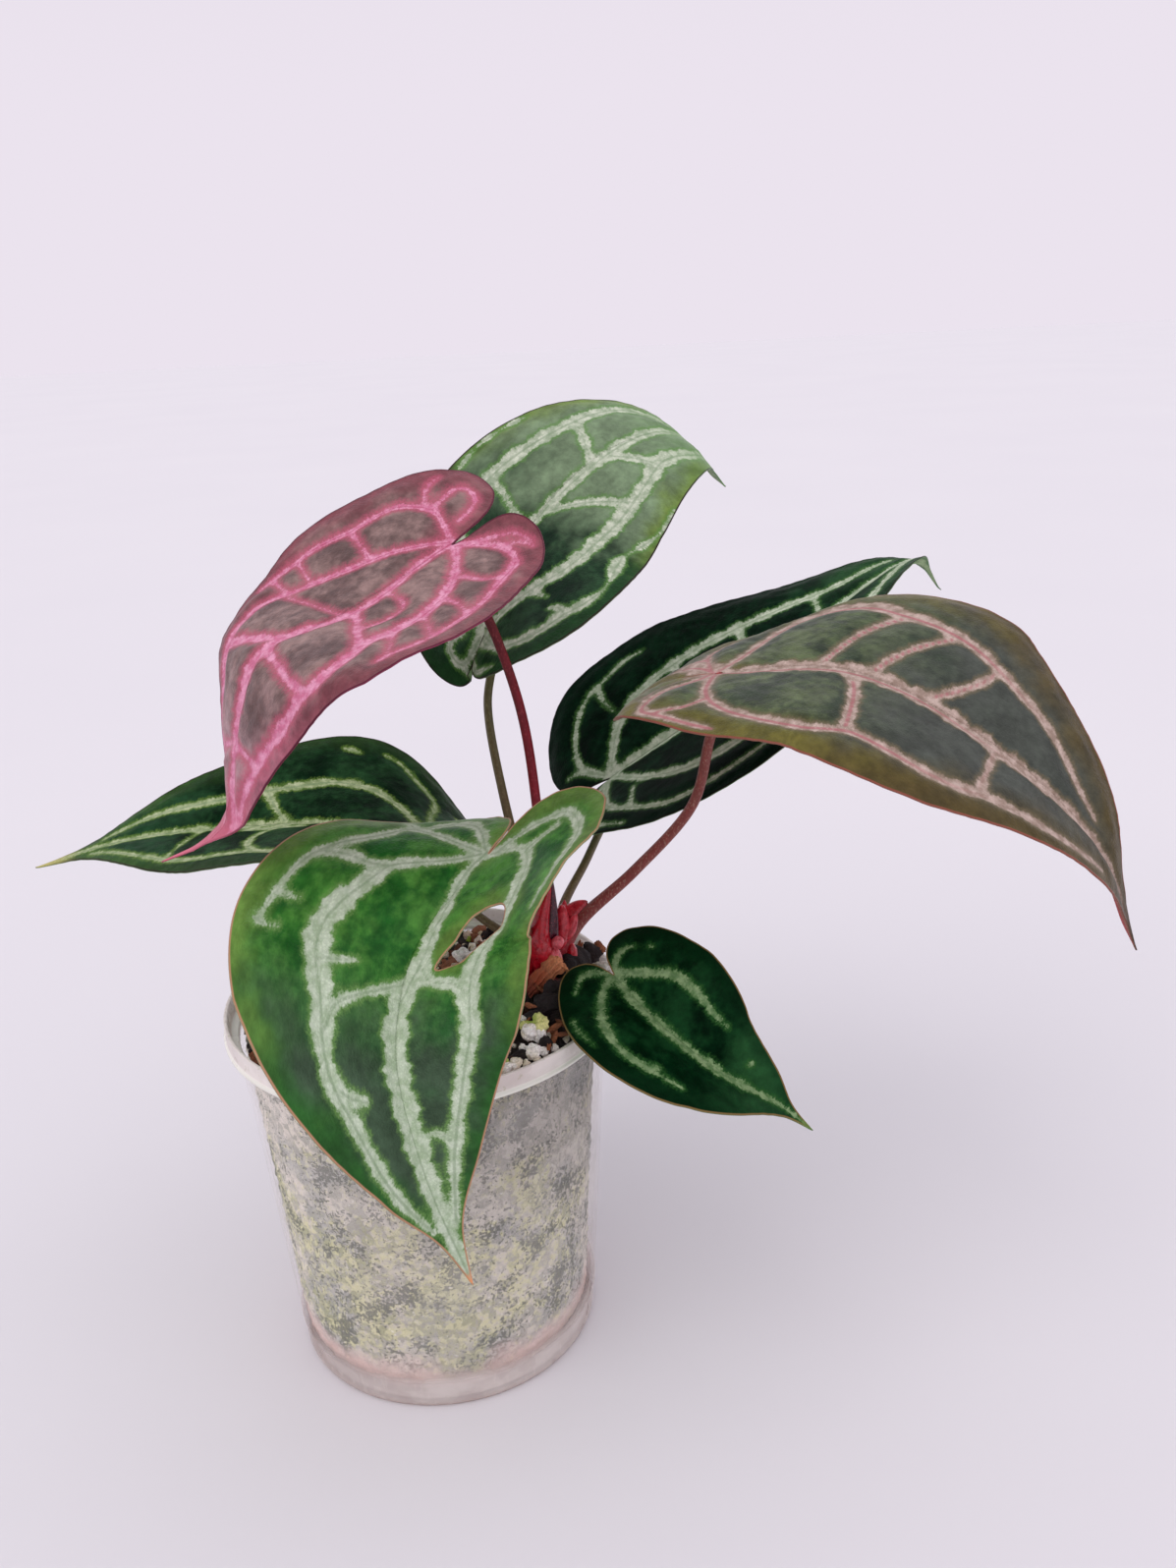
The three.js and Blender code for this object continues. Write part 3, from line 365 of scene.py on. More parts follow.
def rib_frames(leaf):
    """Even stations of the midrib with tangent and upward normal. The world's up is carried
    along without spin and then rolled by roll + twist * share. Where ease is set, both
    directions are averaged along the midrib by a bell of that many stations."""
    fine = spline(leaf["rib"], np.linspace(0, 1, 5 * MIDRIB_STEPS + 1))
    run = np.r_[0, np.cumsum(np.linalg.norm(np.diff(fine, axis=0), axis=1))]
    s = np.linspace(0, run[-1], MIDRIB_STEPS + 1)
    point = np.stack([np.interp(s, run, fine[:, k]) for k in range(3)], 1)
    tangent = unit(np.gradient(point, axis=0))
    carried, normal = np.array([0, 0, 1.0]), []
    for t in tangent:
        carried = unit(carried - t * (carried @ t))
        normal.append(carried)
    normal = np.array(normal)
    spin = np.radians(leaf["roll"] + leaf["twist"] * np.linspace(0, 1, len(s)))[:, None]
    normal = normal * np.cos(spin) + np.cross(tangent, normal) * np.sin(spin)
    if "ease" in leaf:
        reach = 2 * leaf["ease"]
        bell = np.exp(-0.5 * (np.arange(-reach, reach + 1) / leaf["ease"]) ** 2)
        for way in (normal, tangent):
            padded = np.pad(way, ((reach, reach), (0, 0)), "reflect", reflect_type="odd")
            for k in range(3):
                way[:, k] = np.convolve(padded[:, k], bell / bell.sum(), "valid")
        normal, tangent = unit(normal), unit(tangent)
    return dict(point=point, tangent=tangent, normal=normal, length=run[-1])


def frame_at(frames, share):
    """The stations' point, tangent, normal and right hand, mixed linearly at each share."""
    t = np.clip(share, 0, 1) * MIDRIB_STEPS
    i = np.minimum(t.astype(int), MIDRIB_STEPS - 1)
    w = (t - i)[..., None]
    point, tangent, normal = (frames[k][i] * (1 - w) + frames[k][i + 1] * w
                              for k in ("point", "tangent", "normal"))
    tangent, normal = unit(tangent), unit(normal)
    return point, tangent, normal, np.cross(tangent, normal)


def arc(angle, turn, s):
    """End of an arc of length s that starts at the angle and turns down at the given rate."""
    turn = np.where(np.abs(turn) < 1e-7, 1e-7, turn)
    return ((np.sin(angle) - np.sin(angle - turn * s)) / turn,
            (np.cos(angle - turn * s) - np.cos(angle)) / turn)


def along3(values, a):
    """The parabola through the three values at -0.12, 0.35 and 1."""
    p, q, r = -0.12, 0.35, 1.0
    t = np.clip(a, p, r)
    return (values[0] * (t - q) * (t - r) / ((p - q) * (p - r))
            + values[1] * (t - p) * (t - r) / ((q - p) * (q - r))
            + values[2] * (t - p) * (t - q) / ((r - p) * (r - q)))


def on_leaf(leaf, frames, a, b):
    """Middle of the blade at share a along the midrib and signed share b across it. From the
    midrib each half goes out on an arc that starts at the fold angle and turns down by the
    arch; before the midrib's start the lobe hangs down on an arc of its own."""
    length = frames["length"]
    point = frame_at(frames, a)[0]
    _, _, normal, right = frame_at(frames, 0.5 * (a + np.sqrt(a * a + 0.004)))
    back = np.maximum(-a, 0) * length
    aa = np.clip(a, 0, 1)
    out = np.zeros_like(point)
    for side, half in ((1, leaf["right"]), (-1, leaf["left"])):
        bx, bz = arc(0.0, np.radians(half["droop"]) / (0.2 * length), back)
        base = point - frames["tangent"][0] * bx[..., None] + frames["normal"][0] * bz[..., None]
        bend = np.radians(half["arch"][0] + (half["arch"][1] - half["arch"][0]) * aa)
        o, u = arc(np.radians(along3(half["fold"], a)), bend / (0.3 * length), np.abs(b) * length)
        place = base + right * (side * o)[..., None] + normal * u[..., None]
        mine = (b >= 0) if side > 0 else (b < 0)
        out[mine] = place[mine]
    return out, normal


def margin(leaf, side, t):
    """Outline of one half at shares t, scaled by its lobe and by its width factors at 0.05,
    0.45, 0.8 and 0.9. A pinched notch is narrower by NOTCH_HALF sin(pi t / NOTCH_SHARE)."""
    half = leaf["right" if side > 0 else "left"]
    width = [*half["width"], half["width"][-1]][:4]
    e = spline(HALF_OUTLINE, t)
    drawn = NOTCH_HALF * np.sin(np.pi * np.minimum(t / NOTCH_SHARE, 1))
    a = e[..., 0]
    b = e[..., 1] * np.interp(a, [0.05, 0.45, 0.8, 0.9], width) - leaf.get("pinch", 0) * drawn
    return np.where(a < 0, a * half["lobe"], a), np.maximum(b, 0)


def blade_grid(leaf, rows, columns):
    """Both halves as one welded grid. Row t runs straight from its root on the midrib to the
    margin; roots stay at the petiole over the fan and then sweep forward as share^1.25."""
    parts, faces = [], []
    for side in (1, -1):
        fine = np.linspace(0, 1, 1500)
        fa, fb = margin(leaf, side, fine)
        run = np.r_[0, np.cumsum(np.hypot(np.diff(fa), np.diff(fb)))]
        t = np.interp(np.linspace(0, run[-1], rows), run, fine)
        ea, eb = margin(leaf, side, t)
        w = np.clip((t - FAN) / (1 - FAN), 0, 1)
        root = (ATTACH + (1 - ATTACH) * w ** 1.25)[:, None]
        v = np.linspace(0, 1, columns)[None] ** 0.95
        a = root + (ea[:, None] - root) * v
        b = eb[:, None] * v
        wave = WAVE * np.sin(2 * np.pi * WAVE_COUNT * t[:, None] + side) * v ** 3
        wave = wave * np.minimum(1, eb / 0.2)[:, None]
        parts.append(np.stack([a, side * b, wave], -1).reshape(-1, 3))
        quads = grid_faces(rows, columns, (0 if side > 0 else rows * columns))
        faces.append(quads if side > 0 else quads[:, ::-1])
    flat, faces = np.vstack(parts), np.vstack(faces)
    keys = np.round(flat[:, :2] * 1e5).astype(np.int64)
    _, first, inverse = np.unique(keys, axis=0, return_index=True, return_inverse=True)
    return flat[first], inverse.ravel()[faces]


def cut_tear(flat, faces):
    """Opens the torn hole: faces wholly inside its outline go, and the inside points that
    are left move to the nearest place on it."""
    ring = spline(TEAR + TEAR[:1], np.linspace(0, 1, 97))
    x, y = flat[:, 0], flat[:, 1]
    x0, y0, x1, y1 = ring[:-1, 0], ring[:-1, 1], ring[1:, 0], ring[1:, 1]
    cross = (y0[None] > y[:, None]) != (y1[None] > y[:, None])
    at = x0 + (y[:, None] - y0) * (x1 - x0) / np.where(y1 == y0, 1e-9, y1 - y0)
    inside = (cross & (x[:, None] < at)).sum(1) % 2 == 1
    faces = faces[~inside[faces].all(1)]
    away = np.linalg.norm(flat[inside, None, :2] - ring[None], axis=-1)
    flat = flat.copy()
    flat[inside, :2] = ring[away.argmin(1)]
    return flat, faces, ring


def vein_fields(name, xy, length):
    """For each point of the flat blade, in mm: how deep it lies inside the pale bands (the
    soft greatest of half width minus distance), the distance to the nearest vein's middle,
    the run along that vein, and the distance to the midrib's middle."""
    depth, core, run, middle = [], [], [], None
    for number, (widths, *points) in enumerate(VEINS[name]):
        line = spline(np.array(points) / 100 * length, np.linspace(0, 1, 6 * len(points)))
        away, along = to_polyline(xy, line)
        total = np.linalg.norm(np.diff(line, axis=0), axis=1).sum()
        half = 0.5 * spline(np.array(widths)[:, None] / 100 * length, along / total)[:, 0]
        half = half * VEIN_WIDTH.get(name, 1.0)
        half = half * (1 + 0.13 * np.sin(0.9 * along + number)
                       + 0.1 * np.sin(2.3 * along + 2 * number))
        past = along - total + 0.01 > 0
        depth.append(half - away - 0.4 * past)
        core.append(away + 1.2 * np.maximum(0, 0.6 - half))
        run.append(along + 37.0 * number)
        if number == 0:
            middle = away
    depth, core, run = np.array(depth), np.array(core), np.array(run)
    nearest = depth.argmax(0)
    top = depth.max(0)
    soft = top + BAND_BLEND * np.log(np.exp((depth - top) / BAND_BLEND).sum(0))
    return soft, core.min(0), run[nearest, np.arange(len(xy))], middle


def point_normals(points, faces):
    """Sum of the normals of the faces round each point, made unit."""
    p = points[faces]
    n = np.cross(p[:, 2] - p[:, 0], p[:, 3] - p[:, 1])
    total = np.zeros_like(points)
    for k in range(4):
        np.add.at(total, faces[:, k], n)
    return unit(total)


# Mesh making

def make_piece(name, points, faces, marks, material, smooth=True):
    """A mesh object in metres from points in mm, with one float attribute per mark."""
    mesh = bpy.data.meshes.new(name)
    rows = [list(dict.fromkeys(f)) for f in np.asarray(faces).tolist()]
    mesh.from_pydata((np.asarray(points) * MM).tolist(), [], [f for f in rows if len(f) > 2])
    for mark, values in marks.items():
        layer = mesh.attributes.new(mark, "FLOAT", "POINT")
        layer.data.foreach_set("value", np.asarray(values, np.float32))
    mesh.polygons.foreach_set("use_smooth", [smooth] * len(mesh.polygons))
    mesh.update()
    piece = bpy.data.objects.new(name, mesh)
    bpy.context.scene.collection.objects.link(piece)
    mesh.materials.append(material)
    return piece


def place_piece(piece, slot, *nodes):
    """Rides the piece on the plant and hides the solids it stands for; the slot is not used."""
    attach(piece, "root")
    if nodes:
        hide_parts(*nodes)


def make_blade(name, leaf, dome, material, slot):
    """A blade as a closed sheet. Its middle is on_leaf plus the margin's wave plus panels that
    dome by dome * (1 - exp(-(core / 2.4)^2)) between the veins. It thins to the margin, and
    the ribs stand out below by (0.22 + 0.4 exp(-(middle / 1.1)^2)) * exp(-(core / 0.8)^2)."""
    frames = rib_frames(leaf)
    length = frames["length"]
    flat, faces = blade_grid(leaf, *(LARGE_GRID if length > LARGE_BLADE else SMALL_GRID))
    ring = None
    if name == "front":
        flat, faces, ring = cut_tear(flat, faces)
    xy = flat[:, :2] * length
    soft, core, run, middle = vein_fields(name, xy, length)
    outline = np.vstack([np.stack(margin(leaf, 1, np.linspace(0, 1, 200)), 1),
                         (np.stack(margin(leaf, -1, np.linspace(1, 0, 200)), 1) * [1, -1])])
    rim, _ = to_polyline(xy, outline * length)
    if ring is not None:
        rim = np.minimum(rim, to_polyline(xy, ring * length)[0])
    points, up = on_leaf(leaf, frames, flat[:, 0], flat[:, 1])
    points = points + up * (flat[:, 2] * length / 100)[:, None]
    normals = point_normals(points, faces)
    relief = dome * (1 - np.exp(-(core / 2.4) ** 2)) * smoothstep(rim, 0, 5)
    x, y = xy.T
    quilt = 0.1 * np.sin(x * 0.9 + 1.3 * np.sin(y * 0.55))
    quilt = quilt * np.sin(y * 1.1 + 1.7 * np.sin(x * 0.35)) * smoothstep(core, 0.5, 3)
    points = points + normals * (relief + quilt)[:, None]
    normals = point_normals(points, faces)
    thick = EDGE_THICKNESS + EXTRA_THICKNESS * smoothstep(rim, 0, 4)
    keel = (0.22 + 0.4 * np.exp(-(middle / 1.1) ** 2)) * np.exp(-(core / 0.8) ** 2)
    keel = keel * smoothstep(rim, 0.2, 2)
    upper = points + normals * (thick / 2)[:, None]
    lower = points - normals * (thick / 2 + keel)[:, None]
    count = len(points)
    edges = np.vstack([faces[:, [k, (k + 1) % 4]] for k in range(4)])
    edges = edges[edges[:, 0] != edges[:, 1]]
    codes = edges[:, 0].astype(np.int64) * count + edges[:, 1]
    free = edges[~np.isin(codes, edges[:, 1].astype(np.int64) * count + edges[:, 0])]
    walls = np.stack([free[:, 1], free[:, 0], free[:, 0] + count, free[:, 1] + count], 1)
    used = np.unique(faces)
    number = -np.ones(2 * count, int)
    number[np.r_[used, used + count]] = np.arange(2 * len(used))
    all_faces = number[np.vstack([faces, faces[:, ::-1] + count, walls])]
    both = np.vstack([upper[used], lower[used]])
    marks = dict(
        vein_depth=soft, vein_core=core, vein_run=run, rim_distance=rim,
        leaf_along=flat[:, 0], leaf_x=x, leaf_y=y,
    )
    marks = {k: np.r_[v[used], v[used]] for k, v in marks.items()}
    marks["underside"] = np.r_[np.zeros(len(used)), np.ones(len(used))]
    piece = make_piece(f"{name}_blade", both, all_faces, marks, material)
    place_piece(piece, slot, f"blade_{name}")


def turns(sides):
    """Even angles round a circle."""
    return np.linspace(0, 2 * np.pi, sides, endpoint=False)


def capped_rings(rings, start, end):
    """Points and faces of a closed body: a grid of rings x sides joined by quads, and a fan
    from the first and the last ring to an end point."""
    rows, sides = rings.shape[:2]
    k = np.arange(sides)
    n = (k + 1) % sides
    faces = [np.stack([k, n, sides + n, sides + k], 1) + i * sides for i in range(rows - 1)]
    last, tip = (rows - 1) * sides, np.full(sides, rows * sides)
    faces += [np.stack([n, k, tip, tip], 1),
              np.stack([last + k, last + n, tip + 1, tip + 1], 1)]
    return np.vstack([rings.reshape(-1, 3), start, end]), np.vstack(faces)


def tube(path, radius):
    """A rod along a path: ring k lies at the path's point k, in the plane square to the
    tangent, from one fixed direction with its part along the path taken out. radius is a
    grid of stations x sides."""
    tangent = unit(np.gradient(path, axis=0))
    ref = np.eye(3)[np.abs(tangent.mean(0)).argmin()]
    across = unit(ref - tangent * (tangent @ ref)[:, None])
    other = np.cross(tangent, across)
    angle = turns(radius.shape[1])
    rings = (path[:, None] + across[:, None] * (radius * np.cos(angle))[..., None]
             + other[:, None] * (radius * np.sin(angle))[..., None])
    return capped_rings(rings, path[0], path[-1])


def make_petiole(name, leaf, material, slot):
    """A petiole along the listed points and a bend into the blade. Its radius is R times
    1 + foot (1 - s)^6 at the crown, plus a swollen joint below the blade, a bell at 0.95."""
    frames = rib_frames(leaf)
    point, _, normal, _ = frame_at(frames, np.array([ATTACH]))
    end = point[0] - normal[0] * 0.45
    coming = unit(np.array(leaf["stalk"][-1]) - end)
    bend = end - normal[0] * 0.034 * frames["length"] + coming * 0.022 * frames["length"]
    s = np.linspace(0, 1, STALK_STEPS)
    path = spline(leaf["stalk"] + [bend, end], s)
    angle = turns(STALK_SIDES)
    radius = leaf["stalk_r"] * (1 + leaf.get("foot", 0.5) * (1 - s) ** 6
                                + 0.32 * np.exp(-((s - 0.95) / 0.05) ** 2))
    radius = radius[:, None] * (1 + 0.035 * np.cos(2 * angle)
                                + 0.012 * np.sin(5 * angle + 9 * s[:, None]))
    points, faces = tube(path, radius)
    along = np.r_[np.repeat(s, STALK_SIDES), 0, 1]
    piece = make_piece(f"{name}_petiole", points, faces, dict(stalk_along=along), material)
    place_piece(piece, slot, f"petiole_{name}")


# Node helpers

def tone(r, g, b):
    """A display colour in 0-255 as the linear colour a shader takes."""
    c = np.array([r, g, b]) / 255
    c = np.where(c <= 0.04045, c / 12.92, ((c + 0.055) / 1.055) ** 2.4)
    return (*c.tolist(), 1.0)


class Nodes:
    """Adds nodes to a tree. A socket takes a number, a colour or another node's output."""

    def __init__(self, tree):
        self.tree = tree

    def put(self, kind, sockets=None, **settings):
        node = self.tree.nodes.new(kind)
        for key, value in settings.items():
            setattr(node, key, value)
        for key, value in (sockets or {}).items():
            if isinstance(value, bpy.types.NodeSocket):
                self.tree.links.new(value, node.inputs[key])
            else:
                node.inputs[key].default_value = value
        return node

    def math(self, operation, a, b=0.0, c=0.0):
        return self.put("ShaderNodeMath", {0: a, 1: b, 2: c}, operation=operation).outputs[0]

    def add(self, a, b):
        return self.math("ADD", a, b)

    def times(self, a, b):
        return self.math("MULTIPLY", a, b)

    def mix(self, factor, a, b):
        return self.put("ShaderNodeMix", {0: factor, 6: a, 7: b}, data_type="RGBA").outputs[2]

    def shade(self, factor, color):
        """Colour times a grey factor."""
        grey = self.put("ShaderNodeCombineColor", {0: factor, 1: factor, 2: factor}).outputs[0]
        return self.put("ShaderNodeMix", {0: 1.0, 6: color, 7: grey}, data_type="RGBA",
                        blend_type="MULTIPLY").outputs[2]

    def step(self, x, low, high, start=0.0, end=1.0):
        """From start at low to end at high, eased at both."""
        return self.put("ShaderNodeMapRange", {0: x, 1: low, 2: high, 3: start, 4: end},
                        interpolation_type="SMOOTHSTEP").outputs[0]

    def noise(self, vector, scale, detail=2.0, rough=0.5):
        return self.put("ShaderNodeTexNoise", {"Vector": vector, "Scale": scale, "Detail": detail,
                                               "Roughness": rough}).outputs[0]

    def cells(self, vector, scale, feature="F1", output="Distance"):
        return self.put("ShaderNodeTexVoronoi", {"Vector": vector, "Scale": scale},
                        feature=feature).outputs[output]

    def centred(self, x, size):
        """A 0-1 noise moved to swing about zero by the size."""
        return self.math("MULTIPLY_ADD", x, size, -0.5 * size)

    def mark(self, name):
        return self.put("ShaderNodeAttribute", attribute_name=name).outputs["Fac"]

    def xyz(self, x, y, z=0.0):
        return self.put("ShaderNodeCombineXYZ", {0: x, 1: y, 2: z}).outputs[0]

    def place_mm(self, stretch=(1, 1, 1)):
        """The piece's own coordinates in millimetres."""
        spot = self.put("ShaderNodeTexCoord").outputs["Object"]
        return self.put("ShaderNodeVectorMath", {0: spot, 1: [1000 * s for s in stretch]},
                        operation="MULTIPLY").outputs[0]

    def axes_mm(self):
        """The same as three numbers."""
        return self.put("ShaderNodeSeparateXYZ", {0: self.place_mm()}).outputs


def node_group(name, inputs, outputs, build):
    """A shader node group. inputs map names to default values, a colour or a number."""
    tree = bpy.data.node_groups.new(name, "ShaderNodeTree")
    for key, value in inputs.items():
        kind = "NodeSocketColor" if isinstance(value, tuple) else "NodeSocketFloat"
        socket = tree.interface.new_socket(name=key, in_out="INPUT", socket_type=kind)
        socket.default_value = value
    for key, kind in outputs.items():
        tree.interface.new_socket(name=key, in_out="OUTPUT", socket_type=f"NodeSocket{kind}")
    nodes = Nodes(tree)
    source = nodes.put("NodeGroupInput").outputs
    made = build(nodes, {key: source[key] for key in inputs})
    nodes.put("NodeGroupOutput", made)
    return tree


def material_from(name, group, values, bump=0.0001, strength=0.6, alpha=False, **surface):
    """A material whose colour, roughness and height come from the group, with the values as
    numbers or display colours; plain finish values sit on the shader's own sockets."""
    material = bpy.data.materials.new(name)
    material.use_nodes = True
    nodes = Nodes(material.node_tree)
    material.node_tree.nodes.clear()
    pattern = nodes.put("ShaderNodeGroup", node_tree=group)
    for key, value in values.items():
        pattern.inputs[key].default_value = tone(*value) if isinstance(value, tuple) else value
    relief = nodes.put("ShaderNodeBump", {"Height": pattern.outputs["Height"],
                                          "Distance": bump, "Strength": strength})
    sockets = {"Base Color": pattern.outputs["Color"],
               "Roughness": pattern.outputs["Roughness"],
               "Normal": relief.outputs[0]}
    if alpha:
        sockets["Alpha"] = pattern.outputs["Alpha"]
    skin = nodes.put("ShaderNodeBsdfPrincipled", {**sockets, **surface})
    nodes.put("ShaderNodeOutputMaterial", {0: skin.outputs[0]})
    return material


def veined_leaf(n, s):
    """Blade colours in flat-blade millimetres. A pale band lies where the depth inside it,
    pushed to and fro by a comb of noise along the vein, by grit and by broad swelling, is
    above zero. A fringe runs round it. Cloudy panels fill the rest, with a broad margin, and
    both change to their far colours along the blade. The lighter cloudy patches are partly
    painted sheen; the far colours are painted sheen on the back blade, whose dark near panels
    are partly painted shadow, and painted shade on the front blade."""
    depth, core, run = n.mark("vein_depth"), n.mark("vein_core"), n.mark("vein_run")
    rim, along, under = n.mark("rim_distance"), n.mark("leaf_along"), n.mark("underside")
    plane = n.xyz(n.mark("leaf_x"), n.mark("leaf_y"))
    comb = n.noise(n.xyz(n.times(run, 1.15), n.times(depth, 0.5)), 1.0, 2.0, 0.6)
    grit = n.noise(plane, 2.3, 2.5, 0.65)
    swell = n.noise(plane, 0.2, 2.0)
    cloud = n.noise(plane, 0.085, 3.0, 0.55)
    fine = n.noise(plane, 0.5, 3.0, 0.6)
    push = n.add(n.centred(comb, 3.8), n.add(n.centred(grit, 3.0), n.centred(swell, 3.0)))
    edge = n.math("MULTIPLY_ADD", push, s["Feather"], depth)
    band = n.step(edge, -0.22, 0.26)
    # Lighter cloudy patches of Mid are partly painted sheen.
    panel = n.mix(n.step(n.add(cloud, n.centred(fine, 0.3)), 0.36, 0.66), s["Deep"], s["Mid"])
    # Far colours: painted sheen on the back blade, painted shade on the front blade, a change of
    # tone on the others.
    far = n.step(n.math("SUBTRACT", n.add(along, n.centred(cloud, 0.4)), s["Far Start"]), 0.0, 0.25)
    panel = n.mix(far, panel, s["Far"])
    outer = n.add(rim, n.centred(cloud, 14.0))
    outer = n.step(outer, s["Margin Width"], 0.5)
    panel = n.mix(outer, panel, n.mix(far, s["Margin"], s["Far Margin"]))
    panel = n.shade(n.step(fine, 0.25, 0.75, 0.84, 1.18), panel)
    panel = n.shade(n.step(n.noise(plane, 0.16, 3.0, 0.6), 0.3, 0.7, 0.78, 1.2), panel)
    fringe = n.step(edge, n.times(s["Glow"], -1.0), 0.0)
    panel = n.mix(n.times(fringe, n.step(grit, 0.3, 0.6, 0.5, 0.85)), panel, s["Fringe"])
    grains = n.step(n.cells(plane, 2.0), 0.1, 0.62, 1.07, 0.9)
    frost = n.step(n.noise(plane, 0.45, 3.0, 0.6), 0.36, 0.64)
    silver = n.mix(frost, s["Silver Shade"], s["Silver"])
    silver = n.mix(n.step(edge, 0.6, 0.05, 0.0, 0.3), silver, s["Fringe"])
    silver = n.shade(grains, silver)
    color = n.mix(n.times(band, s["Silver Strength"]), panel, silver)
    line = n.step(core, s["Core Width"], n.times(s["Core Width"], 0.3))
    fade = n.step(along, s["Core Reach"], n.math("SUBTRACT", s["Core Reach"], 0.25))
    line = n.times(n.times(line, fade), s["Core Strength"])
    color = n.mix(line, color, s["Core"])
    color = n.mix(n.step(rim, 0.42, 0.16), color, s["Rim Line"])
    tip = n.add(along, n.centred(fine, 0.04))
    color = n.mix(n.step(tip, s["Tip Start"], 0.995), color, s["Tip"])
    below = n.mix(n.step(core, 0.9, 0.3), s["Under"], s["Under Vein"])
    below = n.shade(n.step(fine, 0.2, 0.8, 0.85, 1.12), below)
    rough = n.step(n.add(band, n.times(fine, 0.5)), 0.2, 1.4, 0.36, 0.58)
    net = n.cells(plane, 1.25, "DISTANCE_TO_EDGE")
    height = n.add(n.step(net, 0.0, 0.28, 0.0, 0.6), n.times(fine, 0.5))
    return {"Color": n.mix(under, color, below), "Roughness": rough, "Height": height}


def stalk_skin(n, s):
    """Petiole colours: from the foot's to the top's along the stalk, with pale specks drawn
    out lengthwise and a coloured joint below the blade."""
    along = n.mark("stalk_along")
    spot = n.place_mm()
    drift = n.times(n.math("SUBTRACT", n.noise(spot, 0.25, 2.0), 0.5), 0.5)
    color = n.mix(n.step(n.add(along, drift), 0.05, 0.85), s["Foot"], s["Top"])
    color = n.mix(n.step(along, 0.16, 0.0), color, s["Sheath"])
    color = n.mix(n.step(along, 0.9, 0.97), color, s["Joint"])
    specks = n.step(n.noise(n.place_mm((1, 1, 0.55)), 2.6, 3.0, 0.7), 0.54, 0.64)
    color = n.mix(n.times(specks, s["Speck Strength"]), color, s["Speck"])
    grain = n.noise(n.place_mm((1, 1, 0.3)), 1.6, 3.0, 0.6)
    color = n.shade(n.step(grain, 0.2, 0.8, 0.8, 1.2), color)
    rough = n.step(grain, 0.2, 0.8, 0.34, 0.48)
    return {"Color": color, "Roughness": rough, "Height": grain}


def grainy(n, s):
    """Loose lumps: each has its own shade from its tone mark, with crumbs of noise, patches of
    algae colour, flecks and pitted relief."""
    own = n.mark("tone")
    spot = n.place_mm()
    crumb = n.noise(spot, 1.4, 4.0, 0.7)
    pores = n.cells(spot, 1.5)
    color = n.mix(n.step(own, 0.1, 0.9), s["Dark"], s["Light"])
    color = n.shade(n.step(crumb, 0.25, 0.75, 0.66, 1.22), color)
    green = n.times(n.step(n.noise(spot, 0.16, 3.0, 0.6), 0.46, 0.66), s["Algae Amount"])
    color = n.mix(green, color, s["Algae"])
    color = n.mix(n.step(crumb, 0.72, 0.8), color, s["Fleck"])
    height = n.add(crumb, n.times(n.step(pores, 0.0, 0.4), 0.7))
    return {"Color": color, "Roughness": n.step(crumb, 0.2, 0.8, 0.7, 0.95), "Height": height}


